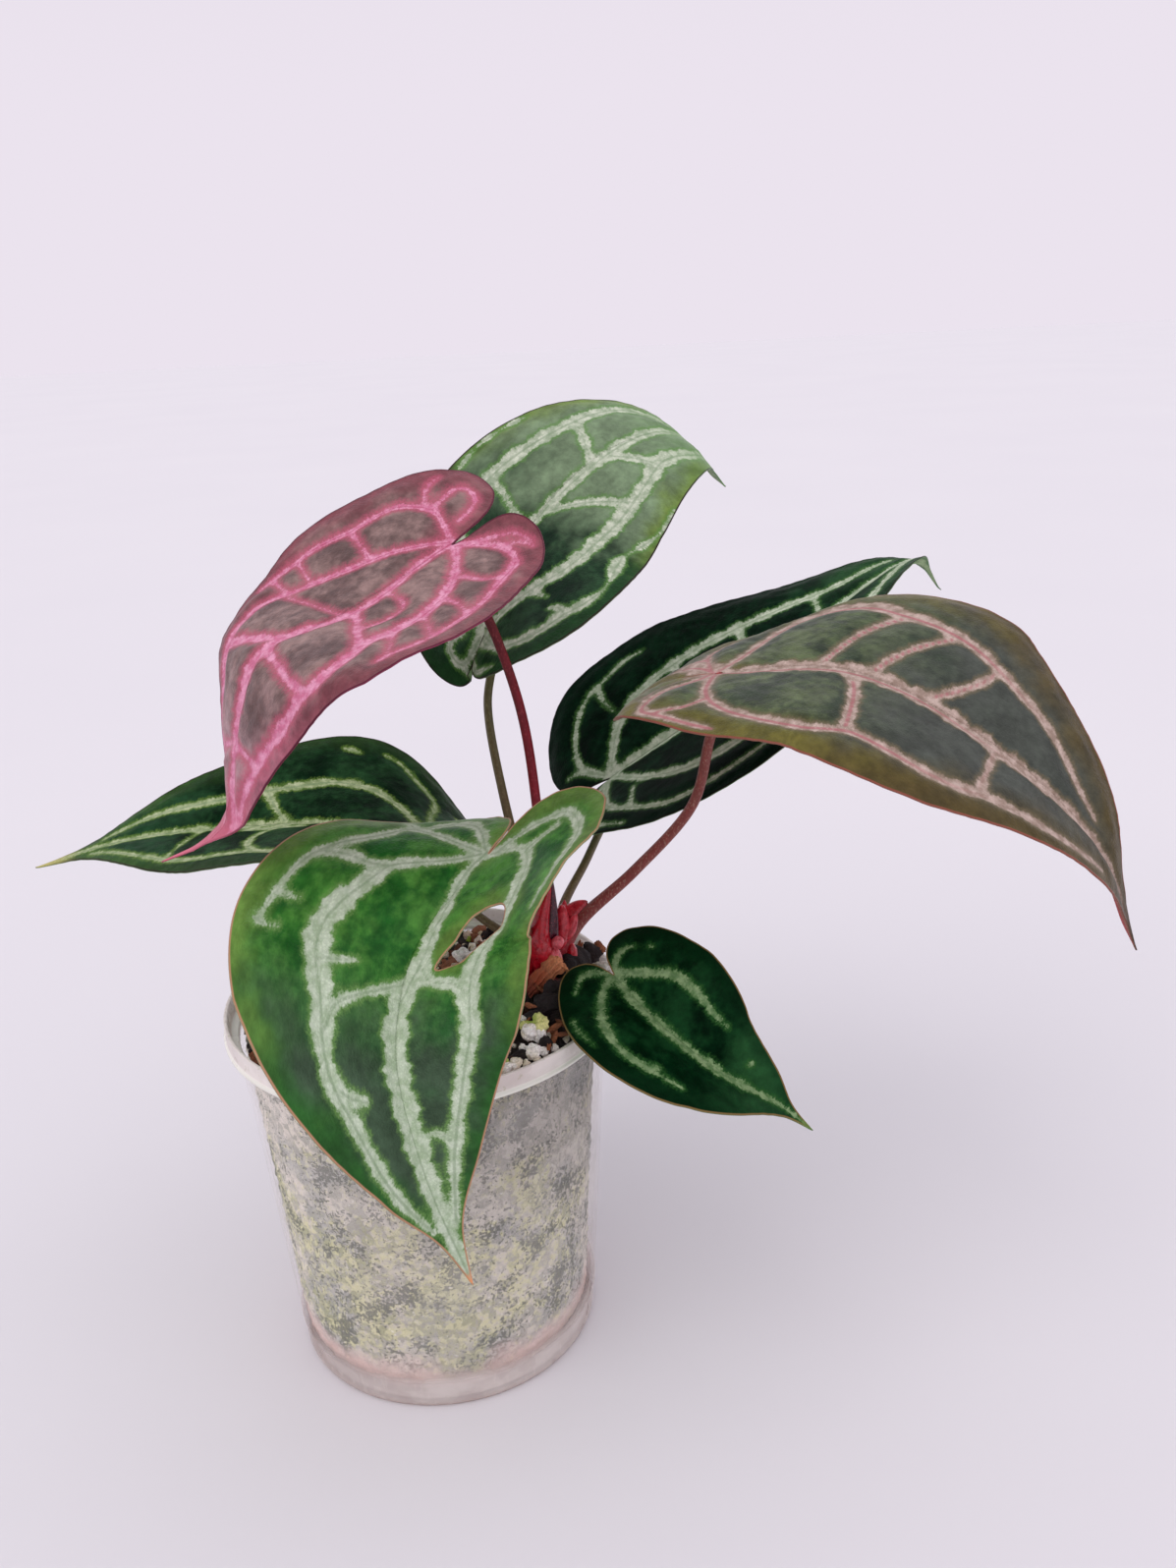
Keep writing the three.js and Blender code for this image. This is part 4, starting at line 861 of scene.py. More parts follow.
def root_ball(n, s):
    """What shows through the wall: granules, each with a grey of its own and a darker seam,
    broad blue-grey patches, dark specks in clusters, soft yellow-green algae low in front and
    a bare pinkish foot with faint lines. Painted shade darkens it to the upper right and
    painted light makes the left side paler; the top is dark."""
    spot = n.place_mm()
    x, y, z = n.axes_mm()
    bend = n.put("ShaderNodeTexNoise", {"Vector": spot, "Scale": 0.7, "Detail": 1.0}).outputs[1]
    warped = n.put("ShaderNodeVectorMath", {0: bend, 1: (1.2, 1.2, 1.2), 2: spot},
                   operation="MULTIPLY_ADD").outputs[0]
    own = n.put("ShaderNodeSeparateColor", {0: n.cells(warped, 0.55, output="Color")}).outputs[0]
    seam = n.cells(warped, 0.55, "DISTANCE_TO_EDGE")
    crumb = n.noise(spot, 0.8, 3.0, 0.6)
    patch = n.noise(spot, 0.085, 3.0, 0.6)
    # Broad blue-grey patches of the Lump colour.
    blue_patch = n.noise(spot, 0.06, 2.0)
    grain = n.add(own, n.centred(crumb, 2.0))
    color = n.mix(n.step(grain, 0.0, 0.9), s["Shade"], s["Grit"])
    joint = n.step(n.add(seam, n.centred(crumb, 0.4)), 0.0, 0.24, 0.93, 1.02)
    color = n.shade(joint, color)
    color = n.mix(n.step(blue_patch, 0.5, 0.62, 0.0, 0.5), color, s["Lump"])
    band = n.times(n.step(z, 4.0, 22.0), n.step(z, 78.0, 30.0))
    side = n.step(n.add(n.times(x, 0.4), y), 30.0, -34.0)
    weed = n.add(n.times(n.times(band, side), 0.34),
                  n.add(n.centred(patch, 1.5), n.centred(crumb, 0.9)))
    weed = n.add(weed, n.centred(n.noise(spot, 0.4, 3.0, 0.6), 0.6))
    algae = n.mix(n.step(grain, 0.3, 0.8), s["Algae"], s["Algae Bright"])
    color = n.mix(n.step(weed, 0.06, 0.46, 0.0, 0.74), color, algae)
    cluster = n.centred(n.noise(spot, 0.12, 2.0), 0.8)
    dark = n.add(n.noise(spot, 1.2, 2.0, 0.6), cluster)
    color = n.mix(n.step(dark, 0.56, 0.6, 0.0, 0.8), color, s["Speck"])
    color = n.mix(n.step(n.noise(spot, 0.9, 1.0), 0.7, 0.74, 0.0, 0.5), color, s["Fleck"])
    # Painted shade darkens the upper right and painted light brightens the left side.
    painted_shade_upper_right = n.times(n.step(z, 34.0, 74.0), n.step(x, -26.0, 22.0))
    pale = n.step(x, -8.0, -34.0, 0.0, 0.2)
    color = n.shade(n.add(n.math("MULTIPLY_ADD", painted_shade_upper_right, -0.4, 1.0), pale), color)
    foot = n.step(n.math("MULTIPLY_ADD", patch, 16.0, z), 22.0, 15.0, 0.0, 0.9)
    color = n.mix(foot, color, s["Foot"])
    lines = n.noise(n.place_mm((0.05, 0.05, 1)), 1.1, 2.0)
    color = n.shade(n.add(1.0, n.times(foot, n.centred(lines, 0.4))), color)
    color = n.mix(n.step(z, 80.0, 80.8), color, s["Soil"])
    return {"Color": color, "Roughness": n.step(crumb, 0.2, 0.8, 0.9, 0.7), "Height": crumb}


def plastic_film(n, s):
    """Thin clear plastic: see-through on the wall, milky at the rim band and foot, with
    scuffs, dried drips and a bright lower lip."""
    spot = n.place_mm()
    z = n.axes_mm()[2]
    cloud = n.noise(spot, 0.09, 3.0, 0.6)
    drips = n.noise(n.place_mm((1, 1, 0.14)), 0.8, 3.0, 0.6)
    lip = n.times(n.step(z, 81.9, 82.3), n.step(z, 83.7, 83.2))
    alpha = n.math("MULTIPLY_ADD", n.step(cloud, 0.35, 0.75), s["Haze"], s["Wall"])
    alpha = n.add(alpha, n.step(drips, 0.58, 0.75, 0.0, 0.07))
    alpha = n.math("MULTIPLY_ADD", n.step(z, 80.8, 82.2), s["Rim"], alpha)
    alpha = n.math("MULTIPLY_ADD", n.step(z, 9.4, 6.6), s["Base"], alpha)
    alpha = n.math("MINIMUM", n.math("MULTIPLY_ADD", lip, 0.5, alpha), 1.0)
    color = n.mix(n.step(cloud, 0.3, 0.7), s["Clear"], s["Milk"])
    dirt = n.times(n.step(n.noise(spot, 0.5, 4.0, 0.7), 0.58, 0.7), n.step(z, 6.0, 84.0, 0.12, 0.5))
    color = n.mix(dirt, color, s["Film"])
    color = n.mix(lip, color, s["Lip"])
    color = n.mix(n.step(n.add(z, n.centred(drips, 1.2)), 0.8, 0.3), color, s["Rust"])
    rough = n.step(cloud, 0.3, 0.7, 0.2, 0.34)
    return {"Color": color, "Roughness": rough, "Height": cloud, "Alpha": alpha}


def colors(*names):
    """Colour inputs, white until a material sets them."""
    return dict.fromkeys(names, (1.0, 1.0, 1.0, 1.0))


SURFACE = {"Color": "Color", "Roughness": "Float", "Height": "Float"}
leaf_group = node_group("veined leaf", {
    **colors("Deep", "Mid", "Far", "Fringe", "Margin", "Far Margin", "Rim Line", "Silver",
             "Silver Shade", "Core", "Tip", "Under", "Under Vein"),
    "Far Start": 2.0, "Margin Width": 7.0, "Silver Strength": 1.0, "Core Width": 0.45,
    "Core Strength": 0.5, "Core Reach": 1.2, "Feather": 0.6, "Glow": 1.2, "Tip Start": 0.95,
}, SURFACE, veined_leaf)
stalk_group = node_group("stalk skin", {
    **colors("Foot", "Top", "Sheath", "Joint", "Speck"), "Speck Strength": 0.5,
}, SURFACE, stalk_skin)
grain_group = node_group("grainy lumps", {
    **colors("Dark", "Light", "Algae", "Fleck"), "Algae Amount": 0.5,
}, SURFACE, grainy)
ball_group = node_group("root ball", colors(
    "Shade", "Grit", "Lump", "Algae", "Algae Bright", "Speck", "Fleck", "Foot", "Soil",
), SURFACE, root_ball)
film_group = node_group("plastic film", {
    **colors("Clear", "Milk", "Film", "Lip", "Rust"),
    "Wall": 0.07, "Haze": 0.1, "Rim": 0.66, "Base": 0.34,
}, {**SURFACE, "Alpha": "Float"}, plastic_film)

# Display colours and shares by the names of the group's inputs
GREEN_VEINS = {"Core": (116, 138, 106), "Silver Strength": 0.95}
BLADE_FINISH = {
    "back": {
        **GREEN_VEINS, "Silver": (206, 212, 192), "Silver Shade": (158, 172, 146),
        # Dark Deep and Mid near the petiole are partly painted shadow of the pink blade; the pale
        # grey Far is painted sheen.
        "Deep": (6, 36, 18), "Mid": (36, 66, 40), "Far": (110, 130, 100),
        "Far Start": 0.22, "Fringe": (88, 130, 62), "Margin": (24, 62, 26),
        "Far Margin": (100, 122, 58), "Rim Line": (44, 24, 28), "Tip": (84, 142, 48),
        "Tip Start": 0.56, "Under": (120, 150, 104), "Under Vein": (160, 180, 140),
        "Feather": 0.42,
    },
    "pink": {
        "Deep": (96, 74, 72), "Mid": (136, 110, 106), "Far": (156, 124, 128),
        "Far Start": 0.5, "Fringe": (180, 84, 108), "Margin": (118, 62, 70),
        "Far Margin": (164, 92, 110), "Rim Line": (84, 24, 44),
        "Silver": (228, 160, 188), "Silver Shade": (202, 114, 146), "Silver Strength": 0.92,
        "Core": (150, 22, 66), "Core Width": 0.34, "Core Reach": 0.4,
        "Tip": (206, 112, 132), "Tip Start": 0.72, "Feather": 0.34, "Glow": 1.9,
        "Under": (150, 64, 92), "Under Vein": (186, 56, 96), "Margin Width": 9.0,
    },
    "right_back": {
        **GREEN_VEINS, "Silver": (206, 214, 192), "Silver Shade": (168, 184, 154),
        "Deep": (1, 20, 8), "Mid": (8, 38, 20), "Far": (40, 72, 44),
        "Far Start": 0.55, "Fringe": (68, 106, 52), "Margin": (4, 28, 14),
        "Far Margin": (26, 62, 30), "Rim Line": (34, 26, 26), "Tip": (140, 150, 130),
        "Tip Start": 0.88, "Under": (104, 136, 96), "Under Vein": (150, 172, 132),
        "Feather": 0.44,
    },
    "bronze": {
        "Deep": (46, 58, 42), "Mid": (82, 94, 62), "Far": (66, 70, 64),
        "Far Start": 0.2, "Fringe": (108, 96, 74), "Margin": (96, 90, 40),
        "Far Margin": (78, 66, 36), "Rim Line": (138, 78, 64),
        "Silver": (196, 174, 164), "Silver Shade": (154, 132, 120), "Silver Strength": 0.92,
        "Core": (164, 94, 102), "Core Strength": 0.7, "Core Width": 0.7, "Core Reach": 0.6,
        "Tip": (54, 40, 18), "Tip Start": 0.78, "Feather": 0.26,
        "Under": (150, 106, 92), "Under Vein": (178, 92, 92), "Margin Width": 13.0,
    },
    "left": {
        **GREEN_VEINS, "Silver": (188, 198, 158), "Silver Shade": (138, 156, 110),
        "Deep": (4, 30, 12), "Mid": (30, 62, 34), "Far": (30, 62, 38),
        "Far Start": 0.5, "Fringe": (96, 126, 54), "Margin": (36, 60, 28),
        "Far Margin": (54, 84, 40), "Rim Line": (46, 34, 30), "Tip": (186, 176, 110),
        "Tip Start": 0.86, "Under": (108, 140, 96), "Under Vein": (150, 172, 132),
        "Feather": 0.5,
    },
    "front": {
        **GREEN_VEINS, "Silver": (200, 212, 190), "Silver Shade": (168, 186, 156),
        # Far and Far Margin, darker and greyer on the hanging far part, are painted shade.
        "Deep": (28, 88, 30), "Mid": (70, 124, 50), "Far": (60, 80, 60),
        "Far Start": 0.32, "Fringe": (104, 142, 76), "Margin": (92, 126, 56),
        "Far Margin": (40, 86, 36), "Rim Line": (176, 132, 104),
        "Tip": (220, 150, 104), "Tip Start": 0.965, "Under": (116, 152, 100),
        "Under Vein": (158, 182, 140), "Feather": 0.38,
    },
    "small": {
        **GREEN_VEINS, "Silver": (152, 178, 130), "Silver Shade": (96, 130, 82),
        "Silver Strength": 0.88, "Deep": (0, 26, 9), "Mid": (16, 54, 26),
        "Far": (34, 74, 40), "Far Start": 0.5, "Fringe": (44, 88, 40),
        "Margin": (6, 36, 16), "Far Margin": (24, 60, 32), "Rim Line": (128, 104, 66),
        "Tip": (104, 130, 64), "Tip Start": 0.9, "Under": (104, 136, 96),
        "Under Vein": (140, 168, 120), "Feather": 0.5, "Core Strength": 0.2,
    },
}
STALK_GREEN = {
    "Foot": (104, 84, 60), "Top": (92, 88, 56), "Sheath": (160, 34, 50),
    "Joint": (112, 108, 66), "Speck": (140, 134, 92), "Speck Strength": 0.4,
}
STALK_RED = {
    "Foot": (128, 58, 54), "Top": (132, 72, 64), "Sheath": (168, 44, 60),
    "Joint": (160, 96, 82), "Speck": (172, 140, 122), "Speck Strength": 0.6,
}
STALK_CRIMSON = {
    "Foot": (136, 26, 40), "Top": (84, 16, 24), "Sheath": (150, 20, 40),
    "Joint": (116, 20, 40), "Speck": (170, 76, 76), "Speck Strength": 0.35,
}
GREEN_STALK = (STALK_GREEN, "petiole_green_brown")
RED_STALK = (STALK_RED, "petiole_red_brown")
# Height of the panels between the veins in mm, gloss, slot, and the petiole's colours and slot
LEAF_LOOKS = {
    "back": (0.5, 0.1, "blade_back", *GREEN_STALK),
    "pink": (1.0, 0.16, "blade_pink", STALK_CRIMSON, "petiole_crimson"),
    "right_back": (0.5, 0.02, "blade_dark", *GREEN_STALK),
    "bronze": (0.8, 0.1, "blade_bronze", *RED_STALK),
    "left": (0.5, 0.02, "blade_dark", *GREEN_STALK),
    "front": (0.45, 0.09, "blade_front", *RED_STALK),
    "small": (0.35, 0.02, "blade_dark", *GREEN_STALK),
}
for name, leaf in LEAVES.items():
    dome, gloss, blade_slot, stalk_colors, stalk_slot = LEAF_LOOKS[name]
    skin = material_from(f"{name} blade skin", leaf_group, BLADE_FINISH[name], bump=0.00012,
                         **{"Specular IOR Level": gloss})
    make_blade(name, leaf, dome, skin, blade_slot)
    bark = material_from(f"{name} petiole skin", stalk_group, stalk_colors, bump=0.00008,
                         **{"Specular IOR Level": 0.25})
    make_petiole(name, leaf, bark, stalk_slot)


# Crown

CROWN_FOOT, CROWN_TOP = np.array([28.0, 1.6, 68]), np.array([29.0, 0.4, 101.5])
# Fleshy scales and knobs: points of the path, greatest half width, flatness, roundness of the
# ends from pointed 0 to ball 1, turn of the flat side in degrees, tone from purple 0 to pink 1
BUDS = [
    ([(27.8, -3.4, 92), (27.6, -4.4, 99), (28.4, -4.0, 105.5), (30.9, -2.8, 113.4)],
     4.6, 0.6, 0.1, 0, 0.36),
    ([(30.0, -5.4, 97), (30.8, -5.6, 104), (31.2, -3.2, 113.8)], 1.35, 0.6, 0.0, 20, 0.05),
    ([(28.2, -6.6, 95.4), (28.5, -7.3, 98.8), (28.7, -6.8, 102.4)], 2.3, 0.9, 0.8, 0, 0.56),
    ([(29.4, -6.2, 91.8), (30.4, -7.2, 95.4), (30.7, -7.0, 99.4)], 2.3, 0.9, 0.7, 0, 0.85),
    ([(30.6, -6.6, 98.8), (31.6, -7.0, 100.2), (32.0, -6.8, 101.6)], 1.35, 1.0, 1.0, 0, 1.05),
    ([(30.8, 0.4, 97.4), (33.6, 1.0, 101.8), (36.2, 1.5, 104.0), (38.6, 1.6, 105.8)],
     2.4, 0.5, 0.2, 60, 0.62),
    ([(31.2, -2.4, 96.6), (32.4, -2.2, 101.8), (33.0, -1.6, 106.8)], 2.7, 0.7, 0.4, 30, 0.66),
    ([(32.6, -2.6, 98.0), (34.6, -2.6, 101.4), (36.0, -2.2, 104.6)], 1.6, 0.8, 0.5, 0, 0.7),
    ([(31.0, 1.0, 95), (32.6, 1.6, 101), (33.6, 1.2, 106.6)], 1.9, 0.9, 0.0, 0, 0.6),
    ([(26.0, -1.0, 93), (24.6, -2.4, 98), (24.4, -3.4, 103)], 2.0, 0.8, 0.2, 0, 0.6),
    ([(26.6, 3.0, 93), (25.4, 4.6, 98), (25.6, 5.4, 104)], 2.2, 0.8, 0.2, 0, 0.5),
    ([(30.4, 4.4, 93), (30.6, 6.0, 98), (29.6, 5.6, 103.6)], 2.1, 0.8, 0.2, 0, 0.4),
    ([(33.0, -1.0, 90), (34.4, -1.4, 94), (34.4, -1.2, 97.4)], 1.9, 0.8, 0.5, 0, 0.5),
    ([(25.2, -5.4, 90.6), (25.0, -6.0, 96), (24.2, -6.4, 103)], 1.5, 0.8, 0.0, 0, 0.3),
]


def bud(path, width, flat, blunt, turn):
    """A fleshy scale or knob: rings along a curve. The half width goes from that of a drop,
    sin(pi (0.16 + 0.84 s)^0.8)^0.75, to that of a ball, sqrt(4 s (1 - s)), as blunt goes
    from 0 to 1; the rings are squashed by flat and carry faint ridges."""
    s = np.linspace(0, 1, 40)
    drop = np.clip(np.sin(np.pi * (0.16 + 0.84 * s) ** 0.8), 0, 1) ** 0.75
    body = drop * (1 - blunt) + np.sqrt(np.clip(4 * s * (1 - s), 0, 1)) * blunt
    angle = turns(28)
    ridges = 1 + 0.04 * np.sin(3 * angle + 5 * width) + 0.03 * np.sin(7 * angle + 8 * s[:, None])
    tilt = angle - math.radians(turn)
    oval = 1 / np.hypot(np.cos(tilt), np.sin(tilt) / flat)
    return tube(spline(path, s), width * body[:, None] * ridges * oval + 0.05)


def crown_mesh():
    """Points, faces and tones of the knobbly stem and every bud, joined. The stem's radius is
    4.7 sin(pi (0.12 + 0.86 s))^0.35 with knobs from two waves."""
    s = np.linspace(0, 1, 60)
    angle = turns(40)
    radius = 4.7 * np.clip(np.sin(np.pi * (0.12 + 0.86 * s)), 0, 1) ** 0.35
    bumps = 1 + 0.05 * np.sin(30 * s[:, None] + 2 * np.sin(3 * angle)) + 0.04 * np.sin(5 * angle)
    axis = CROWN_FOOT + (CROWN_TOP - CROWN_FOOT) * s[:, None] * 0.98
    bodies = [(*tube(axis, radius[:, None] * bumps), 0.25)]
    bodies += [(*bud(*shape), shade) for *shape, shade in BUDS]
    counts = [len(points) for points, _, _ in bodies]
    starts = np.cumsum([0] + counts[:-1])
    return (np.vstack([points for points, _, _ in bodies]),
            np.vstack([faces + start for (_, faces, _), start in zip(bodies, starts)]),
            np.repeat([shade for _, _, shade in bodies], counts))


def fleshy(n, s):
    """Waxy crown tissue: dark purple to pink by each scale's tone, with fine pink specks and
    brown dead tips low down."""
    own = n.mark("tone")
    spot = n.place_mm()
    z = n.axes_mm()[2]
    mottle = n.noise(spot, 0.8, 4.0, 0.65)
    color = n.mix(n.step(own, 0.0, 0.4), s["Purple"], s["Red"])
    color = n.mix(n.step(n.add(own, n.times(mottle, 0.5)), 0.75, 1.4), color, s["Pink"])
    color = n.shade(n.step(mottle, 0.3, 0.7, 0.7, 1.25), color)
    color = n.mix(n.step(n.noise(spot, 3.4, 2.0, 0.6), 0.6, 0.7, 0.0, 0.55), color, s["Pink"])
    color = n.mix(n.step(n.math("MULTIPLY_ADD", mottle, 8.0, z), 97.0, 92.0), color, s["Dead"])
    return {"Color": color, "Roughness": n.step(mottle, 0.2, 0.8, 0.22, 0.42), "Height": mottle}


flesh_group = node_group("waxy flesh", colors("Purple", "Red", "Pink", "Dead"), SURFACE, fleshy)
flesh = material_from("crown flesh", flesh_group, {
    "Purple": (46, 4, 26), "Red": (176, 6, 30), "Pink": (216, 92, 104),
    "Dead": (74, 40, 30),
}, bump=0.0003, **{"Coat Weight": 0.4, "Coat Roughness": 0.15, "Specular IOR Level": 0.3})
points, faces, shade = crown_mesh()
place_piece(make_piece("crown_flesh", points, faces, dict(tone=shade), flesh), "crown", "crown")


SHEATH_ROWS, SHEATH_COLUMNS = 90, 40


def curled_sheath():
    """A dry scale, a strip u along a bent line and v across it. It cups as v^2, is pleated by
    sin(11v) and crumpled by two crossing waves; its end curls over and its edge is ragged."""
    u, v = np.meshgrid(np.linspace(0, 1, SHEATH_ROWS), np.linspace(-1, 1, SHEATH_COLUMNS),
                       indexing="ij")
    line = spline([(24.6, -10.4, 89.6), (26.4, -11.2, 91.8), (28.6, -11.2, 94.0),
                   (30.8, -10.6, 96.0), (32.6, -10.0, 96.4), (33.4, -9.8, 94.6)], u)
    wide = 2.3 * np.clip(np.sin(np.pi * (0.12 + 0.76 * u ** 1.1)), 0, 1) ** 0.6
    wide = wide * (1 + 0.1 * np.sin(17 * u + 2 * v) + 0.06 * np.sin(41 * u))
    across, face = np.array([0.45, -0.25, -0.86]), np.array([0.25, -0.95, 0.2])
    cup = (-0.5 * v ** 2 * wide + 0.3 * np.sin(11 * v + 5 * u) * np.sin(2.2 * u + 0.6)
           + 0.22 * np.sin(26 * u + 3 * v) * np.cos(7 * v))
    top = line + across * (wide * v)[..., None] + face * cup[..., None]
    return close_sheet(top.reshape(-1, 3), SHEATH_ROWS, SHEATH_COLUMNS, 0.35)


def close_sheet(top, rows, columns, thick):
    """A closed sheet: the grid, its copy moved back by thick, and a wall round the edge."""
    count = rows * columns
    ids = np.arange(count).reshape(rows, columns)
    ring = np.r_[ids[0, :], ids[1:, -1], ids[-1, -2::-1], ids[-2:0:-1, 0]]
    after = np.roll(ring, -1)
    walls = np.stack([after, ring, ring + count, after + count], 1)
    quads = grid_faces(rows, columns)
    return (np.vstack([top, top - point_normals(top, quads) * thick]),
            np.vstack([quads, quads[:, ::-1] + count, walls]))


GRAIN = dict(bump=0.0004, strength=0.8)
dry = material_from("dry sheath", grain_group, {
    "Dark": (124, 50, 30), "Light": (226, 150, 104), "Algae": (172, 76, 42),
    "Algae Amount": 0.6, "Fleck": (244, 206, 164),
}, **GRAIN)
points, faces = curled_sheath()
sheath_tone = np.tile(np.repeat(np.linspace(0.25, 1.0, SHEATH_ROWS) ** 1.5, SHEATH_COLUMNS), 2)
place_piece(make_piece("dried_scale", points, faces, dict(tone=sheath_tone), dry), "dried_sheath",
            "dried_sheath")


# Pot and potting mix

POT_PROFILE = [
    (0, 0), (20, 0), (33.4, 0), (34.6, 0.25), (35.1, 1.0), (35.25, 3.0), (35.65, 7.2),
    (35.95, 7.7), (35.9, 8.3), (37.6, 29.0), (39.6, 55.0), (41.7, 81.2), (42.0, 82.0),
    (43.6, 82.2), (44.25, 82.4), (44.3, 82.9), (43.95, 83.3), (43.75, 84.0), (43.8, 86.3),
    (43.85, 86.85), (43.6, 87.0), (43.15, 86.9), (43.0, 86.3), (42.9, 83.9), (42.5, 83.3),
    (41.1, 82.9), (40.9, 81.6), (38.8, 54.6), (34.4, 2.4), (33.9, 1.5), (33.0, 1.2), (20, 1.2),
    (0, 1.2),
]


def lathe(profile, sides, steps):
    """A profile of (radius, height) turned round the Z axis, split evenly between its points.
    Its two ends lie on the axis."""
    p = np.asarray(profile, float)
    share = np.linspace(0, len(p) - 1, (len(p) - 1) * steps + 1)
    r, z = (np.interp(share, np.arange(len(p)), p[:, k]) for k in range(2))
    angle = turns(sides)
    rings = np.stack([r[1:-1, None] * np.cos(angle), r[1:-1, None] * np.sin(angle),
                      np.broadcast_to(z[1:-1, None], (len(r) - 2, sides))], -1)
    return capped_rings(rings, [0, 0, z[0]], [0, 0, z[-1]])


plastic = material_from("clear plastic", film_group, {
    "Clear": (232, 220, 214), "Milk": (246, 238, 232), "Film": (176, 172, 132),
    "Lip": (234, 232, 222), "Rust": (180, 136, 108),
}, bump=0.0003, strength=0.25, alpha=True, **{"IOR": 1.49})
points, faces = lathe(POT_PROFILE, 160, 3)
place_piece(make_piece("clear_pot", points, faces, {}, plastic), "pot", "pot")


MIX_SHIFT = 0.45        # how far the mix's axis lies to the left of the pot's
MIX_FLOOR_Z = 1.6
MIX_R = 39.6            # at its top edge
MIX_EDGE_Z, MIX_SLOPE = 81.6, 0.03
MOUND_HEIGHT, MOUND_SPREAD = 3.2, 17
HEAP_SPOT, HEAP_HEIGHT, HEAP_SPREAD = (30, -6), 3.4, 10


def bell(x, y, spot, spread):
    """exp(-(d / spread)^2 / 2) at the distance d from the spot."""
    return np.exp(-0.5 * (np.hypot(x - spot[0], y - spot[1]) / spread) ** 2)


def mix_top(x, y):
    """Height of the mix: a slope towards +X and a bell-shaped heap round the crown."""
    return MIX_EDGE_Z + MIX_SLOPE * x + MOUND_HEIGHT * bell(x, y, CROWN_TOP, MOUND_SPREAD)


def heap(x, y):
    """Extra height of loose chunks: a second, steeper bell in front of the crown."""
    return HEAP_HEIGHT * bell(x, y, HEAP_SPOT, HEAP_SPREAD)


def ball_mesh():
    """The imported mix: a body turned round an axis MIX_SHIFT off the pot's, with grit raised on
    it by sums of sines; from the corner over the floor up the wall, then in over the top."""
    floor, corner, wall, top = 12, 8, 90, 40        # numbers of rings
    angle = turns(240)
    r = np.r_[np.linspace(4, 30.1, floor), np.linspace(31.8, 34.2, corner),
              np.linspace(34.3, MIX_R, wall), np.linspace(39.2, 2, top)]
    z = np.r_[np.full(floor, MIX_FLOOR_Z), np.linspace(2.2, 6.8, corner),
              np.linspace(7.6, 80.2, wall), np.zeros(top)]
    x, y = r[:, None] * np.cos(angle) - MIX_SHIFT, r[:, None] * np.sin(angle)
    height = np.broadcast_to(z[:, None], x.shape).copy()
    height[-top:] = mix_top(x[-top:], y[-top:])
    grit = (np.sin(x * 1.9 + 2 * np.sin(y * 1.3)) * np.sin(y * 2.1 + np.sin(height * 1.7))
            + np.sin(height * 1.6 + 2 * np.sin(x * 0.9)) * np.sin(x * 1.2 + y * 1.4))
    push = 0.22 * grit - 0.25
    x, y = x + push * np.cos(angle), y + push * np.sin(angle)
    height[-top:] += 0.5 * grit[-top:]
    return capped_rings(np.stack([x, y, height], -1), [-MIX_SHIFT, 0, MIX_FLOOR_Z],
                        [-MIX_SHIFT, 0, mix_top(0.0, 0.0)])


packed = material_from("packed mix", ball_group, {
    "Shade": (172, 171, 160), "Grit": (214, 208, 197), "Lump": (134, 142, 144),
    "Algae": (164, 168, 118), "Algae Bright": (210, 210, 150),
    "Speck": (70, 80, 68), "Fleck": (252, 250, 242), "Foot": (226, 198, 190),
    "Soil": (36, 24, 20),
}, bump=0.0005, strength=0.6)
points, faces = ball_mesh()
place_piece(make_piece("packed_mix", points, faces, {}, packed), "potting_mix", "potting_mix")


def ball_points(level):
    """A sphere of triangles: an octahedron, split level times, its points on the sphere."""
    points = np.vstack([np.eye(3), -np.eye(3)])
    faces = np.array([(0, 1, 2), (1, 3, 2), (3, 4, 2), (4, 0, 2), (1, 0, 5), (3, 1, 5),
                      (4, 3, 5), (0, 4, 5)])
    for _ in range(level):
        mid = [unit(points[faces[:, k]] + points[faces[:, (k + 1) % 3]]) for k in range(3)]
        count, m = len(points), len(faces)
        a, b, c = (count + k * m + np.arange(m) for k in range(3))
        points = np.vstack([points, *mid])
        faces = np.vstack([np.stack(t, 1) for t in (
            (faces[:, 0], a, c), (faces[:, 1], b, a), (faces[:, 2], c, b), (a, b, c))])
        _, first, back = np.unique(np.round(points * 1e6), axis=0, return_index=True,
                                   return_inverse=True)
        points, faces = points[first], back.ravel()[faces]
    return points, faces


def chunks(seed, centres, sizes, tones, boxy, level=1, rough=0.22):
    """Many lumps as one mesh. Each is the split sphere with its coordinates raised to the
    power boxy, bumped by two broad seeded waves and, when it is split finely, by two finer
    ones, then scaled to its size and turned at random."""
    rng = np.random.default_rng(seed)
    ball, tris = ball_points(level)
    count = len(centres)
    shape = np.sign(ball) * np.abs(ball) ** boxy
    wave = rng.normal(size=(count, 4, 3)) * np.array([2.4, 2.4, 7.0, 9.0])[:, None]
    height = np.array([1.0, 1.0, 0.45, 0.35]) * (1, 1, level > 1, level > 1)
    bump = sum(height[k] * np.sin(ball @ wave[:, k].T + rng.uniform(0, 6, count))
               for k in range(4)).T
    local = shape[None] * (1 + rough * bump[..., None]) * np.asarray(sizes)[:, None]
    turn = unit(rng.normal(size=(count, 3)))
    side = unit(np.cross(turn, rng.normal(size=(count, 3))))
    axes = np.stack([side, np.cross(turn, side), turn], 1)
    points = np.einsum("nij,njk->nik", local, axes) + np.asarray(centres)[:, None]
    faces = tris[None] + (np.arange(count) * len(ball))[:, None, None]
    faces = faces.reshape(-1, 3)
    faces = np.hstack([faces, faces[:, 2:]])
    return points.reshape(-1, 3), faces, np.repeat(tones, len(ball))


